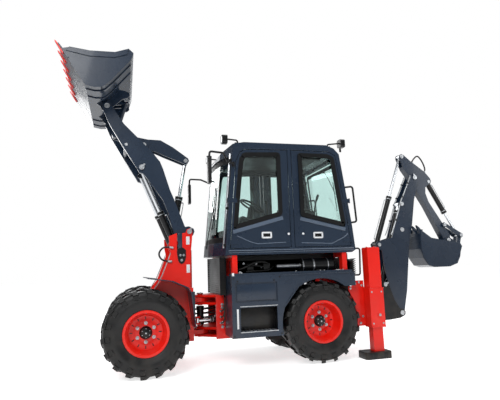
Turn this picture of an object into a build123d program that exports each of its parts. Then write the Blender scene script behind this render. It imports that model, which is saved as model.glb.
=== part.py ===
from build123d import *
import math
import os

# Articulated backhoe loader. Millimetres, +X forward, +Y to the machine's left, +Z up.
# Heights are above the ground; lengths are measured from the front axle and moved to the
# middle of the whole machine when the pieces are written.

# wheels
tyre_radius = 537.5
tyre_width = 410
rim_radius = 254
flange_radius = 281
track_half = 644
wheel_base = 2336
rear_x = -wheel_base
lug_count = 18
lug_height = 25
axle_height = tyre_radius

# articulation and steering
steer_x = -790
steer_upper_z = 868
steer_lower_z = 430
steer_z = 600
steer_base = (-1420, 150)
steer_eye = (-715, 235)
steer_barrel_radius = 32
steer_rod_radius = 18

# loader tower and arms
tower_outer = 405
tower_plate = 20
tower_inner = 305
tower_top = 1794
arm_pivot = (-597, 1812)
arm_outer = 375
arm_thick = 60
lift_base = (-486, 1461)
lift_pin = (38, 2704)
lift_lane = 230
lift_barrel_radius = 42
lift_rod_radius = 27
cross_tube = (-20, 2935)
cross_tube_radius = 60
bucket_pin = (500, 3555)

# loader bucket and its linkage
bucket_half = 900
bucket_plate = 16
bucket_link_pin = (250, 3762)
rocker_pin = (0, 3090)
rocker_front = (400, 3250)
rocker_rear = (-603, 2884)
rocker_lane = 58
rocker_plate = 20
tilt_base = (-385, 1655)
tilt_barrel_radius = 48
tilt_rod_radius = 25

# cab
cab_half = 720
cab_front = -1036
cab_rear = rear_x - 594
cab_post = -2010
cab_floor = 1465
cab_sill = 1545
cab_roof = 3020
roof_seam = 2935
cab_wall = 42
door_gap = 8
hinge_radius = 11
door_hinge_front = -1088
door_hinge_rear = cab_rear + 58
door_hinge_y = 732
nose_bulge = 140
glass_thick = 6

# rear chassis
chassis_half = 330
chassis_plate = 30
chassis_front = -960
chassis_rear = rear_x - 674
chassis_bottom = 400
chassis_top = 900
panel_half = 800
panel_front = -1080
panel_rear = -1765
panel_end = rear_x - 514
deck_z = 1210

# rear slide frame and stabilisers
slide_x = rear_x - 724
slide_depth = 90
slide_low_z = 470
slide_high_z = 860
stab_x = slide_x - 90
stab_y = 740
stab_top = 1512
stab_collar_top = 950
stab_bottom = 415
stab_tube = (190, 160)
stab_collar = (216, 180)
leg_size = (160, 126)
pad_size = (390, 260)
pad_thick = 92

# backhoe
swing_x = slide_x - 500


def behind(points):
    return [(swing_x + x, z) for x, z in points]


boom_foot = (swing_x - 435, 507)
boom_base_pin = (swing_x - 170, 960)
boom_eye = (swing_x - 592, 2250)
dipper_base_pin = (swing_x - 125, 1588)
dipper_pivot = (swing_x - 887, 2701)
dipper_tail = (swing_x - 690, 3062)
boom_half = 88
boom_plate = 20
dipper_half = 60
dipper_slot = 42
hoe_pin = (swing_x - 1440, 1640)
hoe_link_pin = (swing_x - 1635, 1505)
hoe_rocker_pin = (swing_x - 1395, 1900)
hoe_rocker_end = (swing_x - 1696, 1721)
hoe_cylinder_base = (swing_x - 1175, 2640)
hoe_half = 200
hoe_barrel_radius = 42
hoe_rod_radius = 24
hose_radius = 12
fit = 0.6
seat_gap = 0.3

nodes = {}


def box(x0, x1, y0, y1, z0, z1):
    return Pos((x0 + x1) / 2, (y0 + y1) / 2, (z0 + z1) / 2) * Box(abs(x1 - x0), abs(y1 - y0), abs(z1 - z0))


def plate(points, y0, y1):
    outline = Polyline(*[(x, y0, z) for x, z in points], close=True)
    return extrude(make_face(outline), amount=abs(y1 - y0), dir=(0, 1 if y1 > y0 else -1, 0))


def pair(points, y0, y1):
    return plate(points, y0, y1) + plate(points, -y1, -y0)


def pin(at, y0, y1, radius):
    base = Plane(origin=(at[0], y0, at[1]), z_dir=(0, 1, 0))
    return Solid.make_cylinder(radius, y1 - y0, base)


def bar(start, end, radius):
    way = Vector(*end) - Vector(*start)
    return Solid.make_cylinder(radius, way.length, Plane(origin=start, z_dir=way))


def between(a, b, distance):
    length = math.dist(a, b)
    return (a[0] + (b[0] - a[0]) * distance / length, a[1] + (b[1] - a[1]) * distance / length)


def tube(points, radius, bend):
    path = FilletPolyline(*points, radius=bend)
    profile = Plane(origin=path @ 0, z_dir=path % 0) * Circle(radius)
    return sweep(profile, path=path)


def barrel(base, eye, length, radius, bore, lane, eye_radius, eye_half):
    end = between(base, eye, length)
    body = bar((*between(base, eye, eye_radius * 0.6), 0)[0:1] + (lane,) + (between(base, eye, eye_radius * 0.6)[1],),
               (end[0], lane, end[1]), radius)
    gland_start = between(base, eye, length - 45)
    body += bar((gland_start[0], lane, gland_start[1]), (end[0], lane, end[1]), radius + 7)
    body += pin(base, lane - eye_half, lane + eye_half, eye_radius)
    start = between(base, eye, eye_radius + 20)
    stop = between(base, eye, length + 1)
    return body - bar((start[0], lane, start[1]), (stop[0], lane, stop[1]), bore + fit)


def rod(base, eye, start, radius, lane, eye_radius, eye_half):
    low = between(base, eye, start)
    body = bar((low[0], lane, low[1]), (eye[0], lane, eye[1]), radius)
    return body + pin(eye, lane - eye_half, lane + eye_half, eye_radius)


# wheels: one tyre and one rim, outer side towards +Y
def make_tyre():
    half = tyre_width / 2
    tread = tyre_radius - lug_height
    profile = Polyline(
        (rim_radius + 1, -half + 46), (rim_radius + 34, -half + 40), (rim_radius + 80, -half + 8),
        (rim_radius + 150, -half), (tread - 40, -half + 10), (tread - 6, -half + 34), (tread, -half + 80),
        (tread, half - 80), (tread - 6, half - 34), (tread - 40, half - 10), (rim_radius + 150, half),
        (rim_radius + 80, half - 8), (rim_radius + 34, half - 40), (rim_radius + 1, half - 46), close=True)
    ring = revolve(Plane.XY * make_face(profile), axis=Axis.Y)
    lugs = []
    for side in (1, -1):
        for index in range(lug_count):
            angle = 360 / lug_count * (index + (0.5 if side < 0 else 0))
            lug = Pos(0, side * (half / 2 + 2), tread + lug_height / 2 - 14) * Rot(0, 0, -side * 24) * Box(
                52, half - 22, lug_height + 27.4)
            lugs.append(Rot(0, angle, 0) * lug)
    lugs = Part() + lugs
    envelope = revolve(Plane.XY * make_face(Polyline(
        (tread - 60, -half + 2), (tread - 22, -half - 2), (tyre_radius - 8, -half + 14), (tyre_radius, -half + 40),
        (tyre_radius, half - 40), (tyre_radius - 8, half - 14), (tread - 22, half + 2), (tread - 60, half - 2),
        close=True)), axis=Axis.Y)
    return ring + (lugs & envelope)


def make_rim():
    half = tyre_width / 2 - 46
    face = half - 150
    profile = Polyline(
        (rim_radius, -half - 7), (flange_radius, -half - 7), (flange_radius, -half - 18), (rim_radius - 4, -half - 13),
        (rim_radius - 14, -half + 20), (rim_radius - 14, face - 14), (150, face - 14), (120, face - 2), (72, face - 2),
        (72, face + 14), (114, face + 14), (150, face + 2), (rim_radius - 14, face + 2),
        (rim_radius - 14, half - 20), (rim_radius - 4, half + 13), (flange_radius, half + 18),
        (flange_radius, half + 7), (rim_radius, half + 7), close=True)
    rim = revolve(Plane.XY * make_face(profile), axis=Axis.Y)
    cap = Polyline((0, face - 2), (74, face - 2), (74, face + 30), (64, face + 34), (60, face + 74), (44, face + 86),
                   (0, face + 86), close=True)
    rim += revolve(Plane.XY * make_face(cap), axis=Axis.Y)
    for index in range(6):
        angle = math.radians(60 * index + 30)
        stud = Plane(origin=(116 * math.cos(angle), face + 6, 116 * math.sin(angle)), z_dir=(0, 1, 0))
        rim += extrude(stud * RegularPolygon(17, 6), amount=24)
    return rim


tyre = make_tyre()
rim = make_rim()
for end, x in (("front", 0), ("rear", rear_x)):
    nodes["tyre_" + end + "_left"] = Pos(x, track_half, axle_height) * tyre
    nodes["rim_" + end + "_left"] = Pos(x, track_half, axle_height) * rim
    nodes["tyre_" + end + "_right"] = Pos(x, -track_half, axle_height) * (Rot(0, 0, 180) * tyre)
    nodes["rim_" + end + "_right"] = Pos(x, -track_half, axle_height) * (Rot(0, 0, 180) * rim)


# axles: housing, tubes and hub ends that stop just short of the wheel discs
def make_axle(x):
    hub_end = track_half + tyre_width / 2 - 46 - 150 - 2 - fit
    profile = Polyline(
        (0, -hub_end), (112, -hub_end), (112, -hub_end + 36), (140, -hub_end + 44), (140, -hub_end + 150),
        (84, -hub_end + 190), (66, -200), (150, -120), (160, 0), (150, 120), (66, 200), (84, hub_end - 190),
        (140, hub_end - 150), (140, hub_end - 44), (112, hub_end - 36), (112, hub_end), (0, hub_end), close=True)
    return Pos(x, 0, axle_height) * revolve(Plane.XY * make_face(profile), axis=Axis.Y)


front_axle = make_axle(0)
rear_axle = make_axle(rear_x)
for side in (1, -1):
    front_axle += box(-90, 90, side * 190, side * 300, axle_height + 40, 701.7)
    rear_axle += box(rear_x - 90, rear_x + 90, side * 190, side * 290, axle_height + 40, 709.7)
nodes["front_axle"] = front_axle
nodes["rear_axle"] = rear_axle

# front frame: hull over the axle, four tower plates, lower crossings and the joint's tongue
hull_side = [(-640, 356), (-640, 1050), (-131, 1045), (120, 960), (330, 880), (330, 640), (200, 470), (-160, 356)]
front_frame = plate(hull_side, -tower_inner, tower_inner)
front_frame -= plate([(-190, 300), (-190, 702), (190, 702), (190, 300)], -330, 330)
front_frame -= box(-600, 250, -lift_lane - 52, lift_lane + 52, 1000, 1100)
outer_side = [(-600, 1050), (-618, 1560), (-642, 1800), (-630, 1842), (-597, 1857), (-562, 1842), (-545, 1794),
              (-500, 1794), (-500, 1560), (-425, 1560), (-430, 1794), (-319, 1754), (-325, 1606), (-345, 1510),
              (-209, 1159), (-118, 1046), (-118, 760), (-210, 560), (-210, 356), (-640, 356), (-640, 1050)]
inner_side = [(-600, 1000), (-618, 1560), (-642, 1800), (-630, 1842), (-597, 1857), (-562, 1842), (-520, 1640),
              (-400, 1560), (-330, 1420), (-209, 1159), (-118, 1000)]
front_frame += pair(outer_side, tower_outer - tower_plate, tower_outer)
front_frame += pair(inner_side, tower_inner - tower_plate, tower_inner)
for side in (1, -1):
    front_frame += box(-640, -200, side * 280, side * tower_outer, 960, 1030)
    front_frame += box(-640, -220, side * 280, side * tower_outer, 356, 400)
front_frame += box(-640, -600, -tower_outer, tower_outer, 400, 1050)
front_frame += box(-640, -615, -290, 290, 1050, 1560)
front_frame += pin(arm_pivot, tower_inner - tower_plate, tower_outer + 8, 22)
front_frame += pin(arm_pivot, -tower_outer - 8, -tower_inner + tower_plate, 22)
front_frame += pin(lift_base, 150, tower_inner, 24) + pin(lift_base, -tower_inner, -150, 24)
lift_web = [(-618, 1000), (-618, 1520), (-560, 1520), (-470, 1510), (-440, 1460), (-440, 1000)]
front_frame += pair(lift_web, 150, 172)
front_frame += pair([(-618, 1400), (-618, 1560), (-440, 1690), (-385, 1710), (-340, 1670), (-345, 1620), (-440, 1400)],
                    rocker_lane + 6, rocker_lane + 26)
front_frame += pin(tilt_base, -rocker_lane - 20, rocker_lane + 20, 22)
for low, high in ((steer_upper_z - 30, steer_upper_z + 30), (steer_lower_z - 30, steer_lower_z + 30)):
    tongue = box(steer_x, -600, -120, 120, low, high) + Pos(steer_x, 0, (low + high) / 2) * Cylinder(120, high - low)
    front_frame += tongue
front_frame -= Pos(steer_x, 0, 700) * Cylinder(38 + fit, 1000)
for low in (steer_z - 52, steer_z + 34):
    front_frame += box(steer_eye[0], -632, steer_eye[1] - 40, steer_eye[1] + 40, low, low + 18)
    front_frame += Pos(steer_eye[0], steer_eye[1], low + 9) * Cylinder(40, 18)
nodes["front_frame"] = front_frame

# front fenders: bent plates over and behind the front tyres
fender_line = [(-20, 1196), (-330, 1150), (-520, 1062), (-560, 1000), (-612, 560), (-620, 560), (-570, 1006),
               (-528, 1074), (-334, 1162), (-20, 1208)]
nodes["front_fenders"] = (pair(fender_line, tower_outer + 1, 780)
                          + pair([(-612, 560), (-660, 560), (-660, 1000), (-560, 1000)], tower_outer + 1, tower_outer + 9))

# loader arms
arm_side = [(-597, 1736), (-520, 1752), (-392, 1798), (-313, 2087), (-247, 2254), (-30, 2560), (20, 2618),
            (70, 2632), (101, 2690), (300, 3010), (460, 3286), (541, 3470), (566, 3555), (546, 3602), (500, 3621),
            (454, 3602), (420, 3529), (275, 3309), (101, 3132), (-90, 2940), (-209, 2790), (-250, 2690),
            (-343, 2394), (-390, 2282), (-470, 2073), (-543, 1880), (-597, 1888), (-660, 1855), (-673, 1812),
            (-650, 1760)]
loader_arm = pair(arm_side, arm_outer - arm_thick, arm_outer)
loader_arm += pin(cross_tube, -arm_outer + 10, arm_outer - 10, cross_tube_radius)
loader_arm += pin(lift_pin, lift_lane + 40, arm_outer + 12, 42) + pin(lift_pin, -arm_outer - 12, -lift_lane - 40, 42)
loader_arm += pin(bucket_pin, arm_outer - arm_thick - 5, arm_outer + 6, 58)
loader_arm += pin(bucket_pin, -arm_outer - 6, -arm_outer + arm_thick + 5, 58)
rocker_lug = [(-95, 2935), (-60, 3105), (-30, 3140), (0, 3150), (32, 3138), (55, 3110), (60, 2935)]
loader_arm += pair(rocker_lug, rocker_lane + rocker_plate + 5, rocker_lane + rocker_plate + 27)
loader_arm += pin((245, 3020), -arm_outer + 20, arm_outer - 20, 34)
for side in (1, -1):
    loader_arm -= pin(arm_pivot, side * 345 - 40, side * 345 + 40, 22 + fit)
loader_arm -= pin(rocker_pin, -120, 120, 20 + fit)
loader_arm -= pin(bucket_pin, -500, 500, 23.5 + fit)
nodes["loader_arm"] = loader_arm

# loader bucket: curled shell, side plates, rim strip, ears and teeth
shell_outer = [(1040, 4086), (748, 3629), (640, 3606), (560, 3612), (509, 3640), (412, 3740), (278, 3900),
               (192, 4003), (160, 4102), (217, 4152)]


def offset_shell(points, thick):
    inner = []
    for index in range(len(points)):
        before = points[max(index - 1, 0)]
        after = points[min(index + 1, len(points) - 1)]
        dx = after[0] - before[0]
        dz = after[1] - before[1]
        length = math.hypot(dx, dz)
        inner.append((points[index][0] + dz / length * thick, points[index][1] - dx / length * thick))
    return inner


shell_inner = offset_shell(shell_outer, bucket_plate)
bucket = plate(shell_outer + shell_inner[::-1], -bucket_half, bucket_half)
side_plate = shell_outer + [(391, 4090), (695, 4082), (940, 4112)]
for y0, y1 in ((bucket_half - bucket_plate, bucket_half), (-bucket_half, -bucket_half + bucket_plate)):
    bucket += plate(side_plate, y0, y1)
rim_strip = [(217, 4152), (391, 4090), (695, 4082), (940, 4112), (977, 4060), (700, 4010), (400, 4018), (241, 4070)]
bucket += pair(rim_strip, bucket_half - 6, bucket_half + 12)
edge = [(1080, 4150), (1040, 4086), (960, 3961), (944, 3971), (1024, 4096), (1072, 4156)]
bucket += plate(edge, -bucket_half - 12, bucket_half + 12)
ear = [(640, 3606), (560, 3612), (509, 3640), (412, 3740), (340, 3826), (262, 3812), (205, 3790), (200, 3742),
       (230, 3712), (300, 3690), (440, 3560), (436, 3520), (470, 3490), (530, 3486), (566, 3520), (590, 3570)]
bucket += pair(ear, 272, 300)
link_ear = [(480, 3668), (412, 3740), (300, 3874), (262, 3812), (205, 3790), (200, 3742), (230, 3712), (300, 3690)]
bucket += pair(link_ear, rocker_lane, rocker_lane + 22)
bucket += pin(bucket_pin, 266, 306, 60) + pin(bucket_pin, -306, -266, 60)
bucket += pin(bucket_pin, 262, arm_outer + 12, 23.5) + pin(bucket_pin, -arm_outer - 12, -262, 23.5)
bucket += pin(bucket_link_pin, rocker_lane - 3, rocker_lane + 30, 24) + pin(bucket_link_pin, -rocker_lane - 30, -rocker_lane + 3, 24)
nodes["loader_bucket"] = bucket
teeth = []
for index in range(7):
    y = -bucket_half + 34 + (2 * bucket_half - 68) / 6 * index
    teeth.append(plate([(1046, 4062), (1120, 4190), (1114, 4196), (1096, 4180), (1081, 4151.5), (1041, 4087.5),
                        (1010, 4038), (1022, 4030)], y - 24, y + 24))
nodes["loader_teeth"] = Part() + [t - plate(edge, -1000, 1000) for t in teeth]

# rocker between the arms, its link to the bucket, and the tilt cylinder
rocker_side = [(-654, 2884), (-640, 2920), (-600, 2950), (-420, 3080), (-239, 3180), (-60, 3185), (110, 3215),
               (260, 3265), (395, 3296), (438, 3275), (446, 3240), (425, 3206), (300, 3170), (110, 3060),
               (20, 3042), (-60, 3032), (-180, 3002), (-281, 2957), (-590, 2835), (-630, 2840)]
rocker = pair(rocker_side, rocker_lane, rocker_lane + rocker_plate)
rocker += pin(rocker_pin, -rocker_lane - rocker_plate, rocker_lane + rocker_plate, 46)
rocker += pin(rocker_pin, -rocker_lane - rocker_plate - 40, rocker_lane + rocker_plate + 40, 20)
nodes["rocker"] = rocker
link_body = bar((rocker_front[0], 0, rocker_front[1]), (bucket_link_pin[0], 0, bucket_link_pin[1]), 34)
link_body += pin(rocker_front, -52, 52, 44) + pin(bucket_link_pin, -52, 52, 44)
nodes["bucket_link"] = link_body - pin(bucket_link_pin, -90, 90, 18 + fit)

tilt_length = math.dist(tilt_base, rocker_rear)
nodes["tilt_barrel"] = barrel(tilt_base, rocker_rear, tilt_length - 540, tilt_barrel_radius, tilt_rod_radius, 0, 46, 50) - pin(
    tilt_base, -80, 80, 22 + fit)
nodes["tilt_rod"] = rod(tilt_base, rocker_rear, tilt_length - 680, tilt_rod_radius, 0, 42, 52)

lift_length = math.dist(lift_base, lift_pin)
lift_barrel = Part()
lift_rod = Part()
for lane in (lift_lane, -lift_lane):
    lift_barrel += barrel(lift_base, lift_pin, 700, lift_barrel_radius, lift_rod_radius, lane, 46, 44) - pin(
        lift_base, lane - 80, lane + 80, 24 + fit)
    lift_rod += rod(lift_base, lift_pin, 648, lift_rod_radius, lane, 42, 36)
nodes["lift_barrels"] = lift_barrel
nodes["lift_rods"] = lift_rod

# rear frame: two long plates, crossings, front yoke, engine supports and rear plates
rear_side = [(chassis_front, 346), (chassis_front, 930), (-1160, 925), (-1300, 900), (rear_x + 376, 860), (rear_x + 236, 760),
             (rear_x - 224, 760), (rear_x - 364, 900), (chassis_rear, 900), (chassis_rear, 380), (rear_x - 364, 380),
             (rear_x - 224, 470), (rear_x - 224, 660), (rear_x + 226, 660), (rear_x + 226, 460), (rear_x + 436, 400),
             (-1160, 346)]
rear_frame = pair(rear_side, chassis_half - chassis_plate, chassis_half)
rear_frame += box(rear_x - 224, rear_x + 226, -chassis_half, chassis_half, 710, 750)
rear_frame += box(-1200, -1160, -chassis_half, chassis_half, 346, steer_z - 72)
rear_frame += box(-1200, -1160, -chassis_half, chassis_half, steer_z + 72, 925)
rear_frame += box(chassis_rear, chassis_rear + 30, -chassis_half, chassis_half, 380, 900)
yoke_top = []
for low, high in ((steer_upper_z + 36, steer_upper_z + 66), (steer_upper_z - 66, steer_upper_z - 36),
                  (steer_lower_z + 36, steer_lower_z + 66), (steer_lower_z - 66, steer_lower_z - 36)):
    outline = Polyline((-1165, 300), (-980, 300), (-745, 90), (-700, 60), (-700, -60), (-745, -90), (-980, -300),
                       (-1165, -300), close=True)
    yoke_top.append(Pos(0, 0, low) * extrude(make_face(outline), amount=high - low))
rear_frame += yoke_top
rear_frame += Pos(steer_x, 0, steer_upper_z) * Cylinder(38, 160) + Pos(steer_x, 0, steer_lower_z) * Cylinder(38, 160)
rear_frame += box(-1460, -1380, 60, chassis_half - 1, steer_z - 58, steer_z - 38)
rear_frame += box(-1460, -1380, 60, chassis_half - 1, steer_z + 38, steer_z + 58)
rear_frame += Pos(steer_base[0], steer_base[1], steer_z) * Cylinder(18, 116)
for x in (-1190, cab_rear + 140):
    rear_frame += box(x, x + 70, -700, 700, 1400, cab_floor - 0.3)
    for side in (1, -1):
        rear_frame += box(x, x + 70, side * 300, side * 330, 880, 1401)
        rear_frame += box(x, x + 70, side * 600, side * 700, deck_z + 12.3, 1401)
for side in (1, -1):
    rear_frame += box(-1190, -1120, side * 329, side * 345, 880, 960)
nodes["rear_frame"] = rear_frame

# engine, radiator grille, air filter and side panels
nodes["engine_block"] = box(-2050, -1300, -240, 240, 720, 1330)
grille = box(-1075, -1010, -480, 480, 935, 1448)
for index in range(17):
    z = 965 + 28 * index
    grille += box(-1011, -996, -450, 450, z, z + 12)
grille += box(-1012, -992, -480, -450, 935, 1448) + box(-1012, -992, 450, 480, 935, 1448)
nodes["radiator_grille"] = grille
air_filter = bar((-2160, 560, 1302), (-2610, 560, 1302), 92)
air_filter += bar((-2140, 560, 1302), (-2162, 560, 1302), 98)
air_filter += bar((-1770, 560, 1300), (-2142, 560, 1300), 26)
nodes["air_filter"] = air_filter + box(-2440, -2340, 470, 650, deck_z + 12, deck_z + 30)

panels = Part()
for side in (1, -1):
    outer = panel_half * side
    inner = 345 * side
    body = box(panel_end, panel_front, inner, outer, 400, 1190)
    body -= box(panel_end - 50, rear_x, inner, outer, 300, 1000)
    body -= pin((rear_x, axle_height), min(inner, outer) - 1, max(inner, outer) + 1, tyre_radius + 42)
    body -= box(panel_rear + 25, panel_front - 25, inner - side, outer - side * 25, 380, 1165)
    body -= box(panel_end - 50, rear_x + 100, inner - side, outer + side, 380, 990)
    body -= box(-1700, -1130, outer - side * 16, outer + side, 850, 1100)
    body -= box(-1690, -1190, outer - side * 30, outer + side, 480, 780)
    body += box(-1695, -1185, outer - side * 150, outer - side * 130, 462, 800)
    body += box(-1695, -1185, outer - side * 150, outer - side, 780, 800)
    body += box(-1695, -1185, outer - side * 150, outer - side, 462, 482)
    panels += body
for side in (1, -1):
    panels += box(panel_end + 28, panel_front, side * 660, side * 790, 1185, deck_z + 12)
nodes["side_panels"] = panels

# cab shell: floor, lower walls, pillars, roof and rear wall, hollow throughout
front_low = cab_front + nose_bulge
front_rake = 0.096
rear_low = cab_rear + 60
rear_high = cab_rear + 170
cab_side = [(front_low + 6, cab_floor), (front_low, cab_sill), (front_low - 126, 2850), (-1070, 2930), (-1170, 2990),
            (-1330, cab_roof), (cab_rear + 370, cab_roof), (cab_rear + 250, 2975), (rear_high, 2890), (cab_rear + 32, 1851), (cab_rear, 1500),
            (rear_low, cab_floor)]
inside_side = [(front_low - 46, cab_floor + 60), (front_low - 52, cab_sill), (front_low - 180, 2840), (-1120, 2880),
               (-1200, 2935), (-1350, cab_roof - 55), (cab_rear + 380, cab_roof - 55), (cab_rear + 280, 2930),
               (rear_high + 50, 2870), (cab_rear + 80, 1851), (cab_rear + 55, 1510), (rear_low + 50, cab_floor + 60)]


def raked(points, low, high):
    outline = Polyline(*[(x - (low - cab_sill) * front_rake, y, low) for x, y in points], close=True)
    way = Vector(-front_rake, 0, 1)
    return extrude(make_face(outline), amount=(high - low) * way.length, dir=way.normalized())


def nose(inset):
    half = cab_half - inset
    return [(cab_front - inset * 0.8, half), (front_low - 30 - inset, 380), (front_low - inset, 160),
            (front_low - inset, -160), (front_low - 30 - inset, -380), (cab_front - inset * 0.8, -half),
            (cab_rear - 370, -half), (cab_rear - 370, half)]


shell = (plate(cab_side, -cab_half, cab_half) & raked(nose(0), cab_floor - 20, cab_roof + 40)) - (
    plate(inside_side, -cab_half, cab_half) & raked(nose(cab_wall), cab_floor, cab_roof))
window = [(-800, 655), (-800, -655), (-1075, -655), (-1250, -560), (-1250, 560), (-1075, 655)]
shell -= raked(window, 1640, 2830)
shell -= box(cab_rear - 70, cab_rear + 280, -cab_half + 90, cab_half - 90, 1700, 2820)
door_front = [(-1092, cab_sill + 4), (-1160, 2330), (-1202, 2740), (-1262, 2872), (-1330, 2920), (cab_post + 50, 2930),
              (cab_post + 50, cab_sill + 4)]
door_rear = [(cab_post, cab_sill + 4), (cab_post, 2930), (cab_rear + 340, 2925), (cab_rear + 230, 2870),
             (cab_rear + 90, 1851), (cab_rear + 62, cab_sill + 4)]


def shrink(points, gap):
    outline = make_face(Polyline(*[(x, 0, z) for x, z in points], close=True))
    return offset(outline, amount=-gap)


def slab(face, y0, y1):
    return extrude(Pos(0, y0, 0) * face, amount=abs(y1 - y0), dir=(0, 1 if y1 > y0 else -1, 0))


for side in (1, -1):
    for outline in (door_front, door_rear):
        shell -= plate(outline, side * (cab_half - cab_wall - 20), side * (cab_half + 10))
nodes["cab_shell"] = shell - box(cab_rear - 100, cab_front + 200, -cab_half - 50, cab_half + 50, roof_seam, cab_roof + 100)
nodes["cab_roof"] = shell & box(cab_rear - 100, cab_front + 200, -cab_half - 50, cab_half + 50, roof_seam + 0.3, cab_roof + 100)

front_glass_hole = [(-1150, 1815), (-1215, 2400), (-1262, 2780), (-1310, 2862), (cab_post + 170, 2878),
                    (cab_post + 170, 2008)]
rear_glass_hole = [(cab_post - 112, 1995), (cab_post - 112, 2872), (cab_rear + 360, 2868), (cab_rear + 280, 2830),
                   (cab_rear + 160, 1900), (cab_rear + 150, 1840)]
doors = {"front": (door_front, front_glass_hole), "rear": (door_rear, rear_glass_hole)}
for name, (outline, hole) in doors.items():
    for word, side in (("left", 1), ("right", -1)):
        outer = side * cab_half
        frame = slab(shrink(outline, door_gap), outer - side * cab_wall, outer)
        frame -= plate(hole, outer - side * 60, outer + side * 20)
        hinge_x = door_hinge_front if name == "front" else door_hinge_rear
        inward = -1 if name == "front" else 1
        for hinge_z in (1640, 2200):
            axis = Pos(hinge_x, side * door_hinge_y, hinge_z)
            frame += axis * Cylinder(hinge_radius, 70)
            frame += box(hinge_x, hinge_x + inward * 120, outer + side, outer + side * 7, hinge_z - 30, hinge_z + 30)
            edge = hinge_x + inward * (90 if hinge_z > 2000 else 34)
            frame += box(edge, edge + inward * 30, outer - side, outer + side * 7, hinge_z - 30, hinge_z + 30)
        nodes[name + "_door_" + word] = frame
        pane = slab(shrink(hole, 0.5), outer - side * 24, outer - side * (24 - glass_thick))
        nodes[name + "_door_glass_" + word] = pane

glass = box(cab_rear - 70, cab_rear + 330, -cab_half + 92, cab_half - 92, 1702, 2818) & plate(
    [(cab_rear + 35, 1600), (cab_rear + 161, 2850), (cab_rear + 167, 2850), (cab_rear + 41, 1600)], -700, 700)
pane = [(cab_front - 24, 653), (front_low - 50, 380), (front_low - 20, 160), (front_low - 20, -160),
        (front_low - 50, -380), (cab_front - 24, -653), (cab_front - 32, -653), (front_low - 58, -380),
        (front_low - 27, -160), (front_low - 27, 160), (front_low - 58, 380), (cab_front - 32, 653)]
glass += raked(pane, 1641, 2829)
nodes["cab_glass"] = glass

# seat, steering column and levers
seat = box(-2330, -1850, -250, 250, 1900, 2010) + plate(
    [(-2250, 1990), (-2330, 2010), (-2440, 2560), (-2400, 2620), (-2350, 2600), (-2240, 2100)], -240, 240)
seat += box(-2250, -1950, -160, 160, cab_floor + 60.3, 1901)
nodes["seat"] = seat
controls = bar((-1482, 0, cab_floor + 90), (-1600, 0, 2190), 45) + box(-1560, -1400, -80, 80, cab_floor + 60.3, cab_floor + 110)
wheel_plane = Plane(origin=(-1612, 0, 2215), z_dir=(-0.5, 0, 0.86))
controls += wheel_plane * Torus(190, 15)
controls += extrude(wheel_plane * Pos(0, 0, -8) * Rectangle(370, 30), amount=16)
controls += bar((-1596, 0, 2150), (-1614, 0, 2222), 34)
for side in (1, -1):
    controls += box(-2420, -1900, side * 330, side * 520, cab_floor + 60.3, 2080)
    controls += bar((-2000, side * 420, 2070), (-1970, side * 420, 2330), 12)
    controls += Pos(-1970, side * 420, 2340) * Sphere(26)
nodes["cab_controls"] = controls

# mirrors, work lamps and grab rails on the cab
wall_line = [(cab_rear + 330, 1460), (rear_low - 0.3, 1460), (cab_rear - 0.3, 1499.8), (cab_rear + 31.7, 1851),
             (rear_high - 0.3, 2890), (cab_rear + 330, 2890)]


def rounded_case(width, depth, height, edge):
    return extrude(RectangleRounded(width, depth, edge), amount=height)


def make_mirror(side):
    arm = tube([(-1168, side * (cab_half + 8), 2700), (-1068, side * (cab_half + 80), 2730),
                (-985, side * 935, 2800), (-800, side * 960, 2810), (-791, side * 960, 2690)], 14, 30)
    case = Pos(-791, side * 960, 2385) * rounded_case(44, 122, 325, 20)
    return arm + case + box(-1188, -1152, side * (cab_half + 0.3), side * (cab_half + 12), 2665, 2735)


def make_lamp(x, y, z, depth):
    case = Plane(origin=(x, y, z), z_dir=(1, 0, 0)) * rounded_case(120, 128, depth, 30)
    return case


fittings = []
for side in (1, -1):
    y = side * 610
    fittings.append(make_mirror(side))
    fittings.append(make_lamp(-1112, y, 3075, 70))
    fittings.append(tube([(-1270, y, cab_roof - 20), (-1262, y, cab_roof + 52), (-1105, y, 3085)], 11, 25))
    fittings.append(box(-1320, -1220, y - 25, y + 25, cab_roof - 40, cab_roof + 14))
    fittings.append(make_lamp(cab_rear + 35, y, 3080, 70))
    fittings.append(tube([(cab_rear + 300, y, cab_roof - 40), (cab_rear + 292, y, cab_roof + 42),
                          (cab_rear + 100, y, 3085)], 11, 25))
    fittings.append(box(cab_rear + 260, cab_rear + 355, y - 25, y + 25, cab_roof - 50, cab_roof + 8))
    y = side * 690
    upper = tube([(cab_rear + 70, y, 1885), (cab_rear - 60, y, 1900), (cab_rear - 30, y, 2420),
                  (cab_rear + 130, y, 2400)], 14, 35)
    lower = tube([(cab_rear + 50, y, 1520), (cab_rear - 80, y, 1515), (cab_rear - 60, y, 1140),
                  (panel_end - 0.3, y, 1140)], 12, 30)
    fittings.append((upper + lower) - plate(wall_line, -cab_half, cab_half))
nodes["cab_fittings"] = (Part() + fittings) - plate(cab_side, -cab_half, cab_half)

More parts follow.
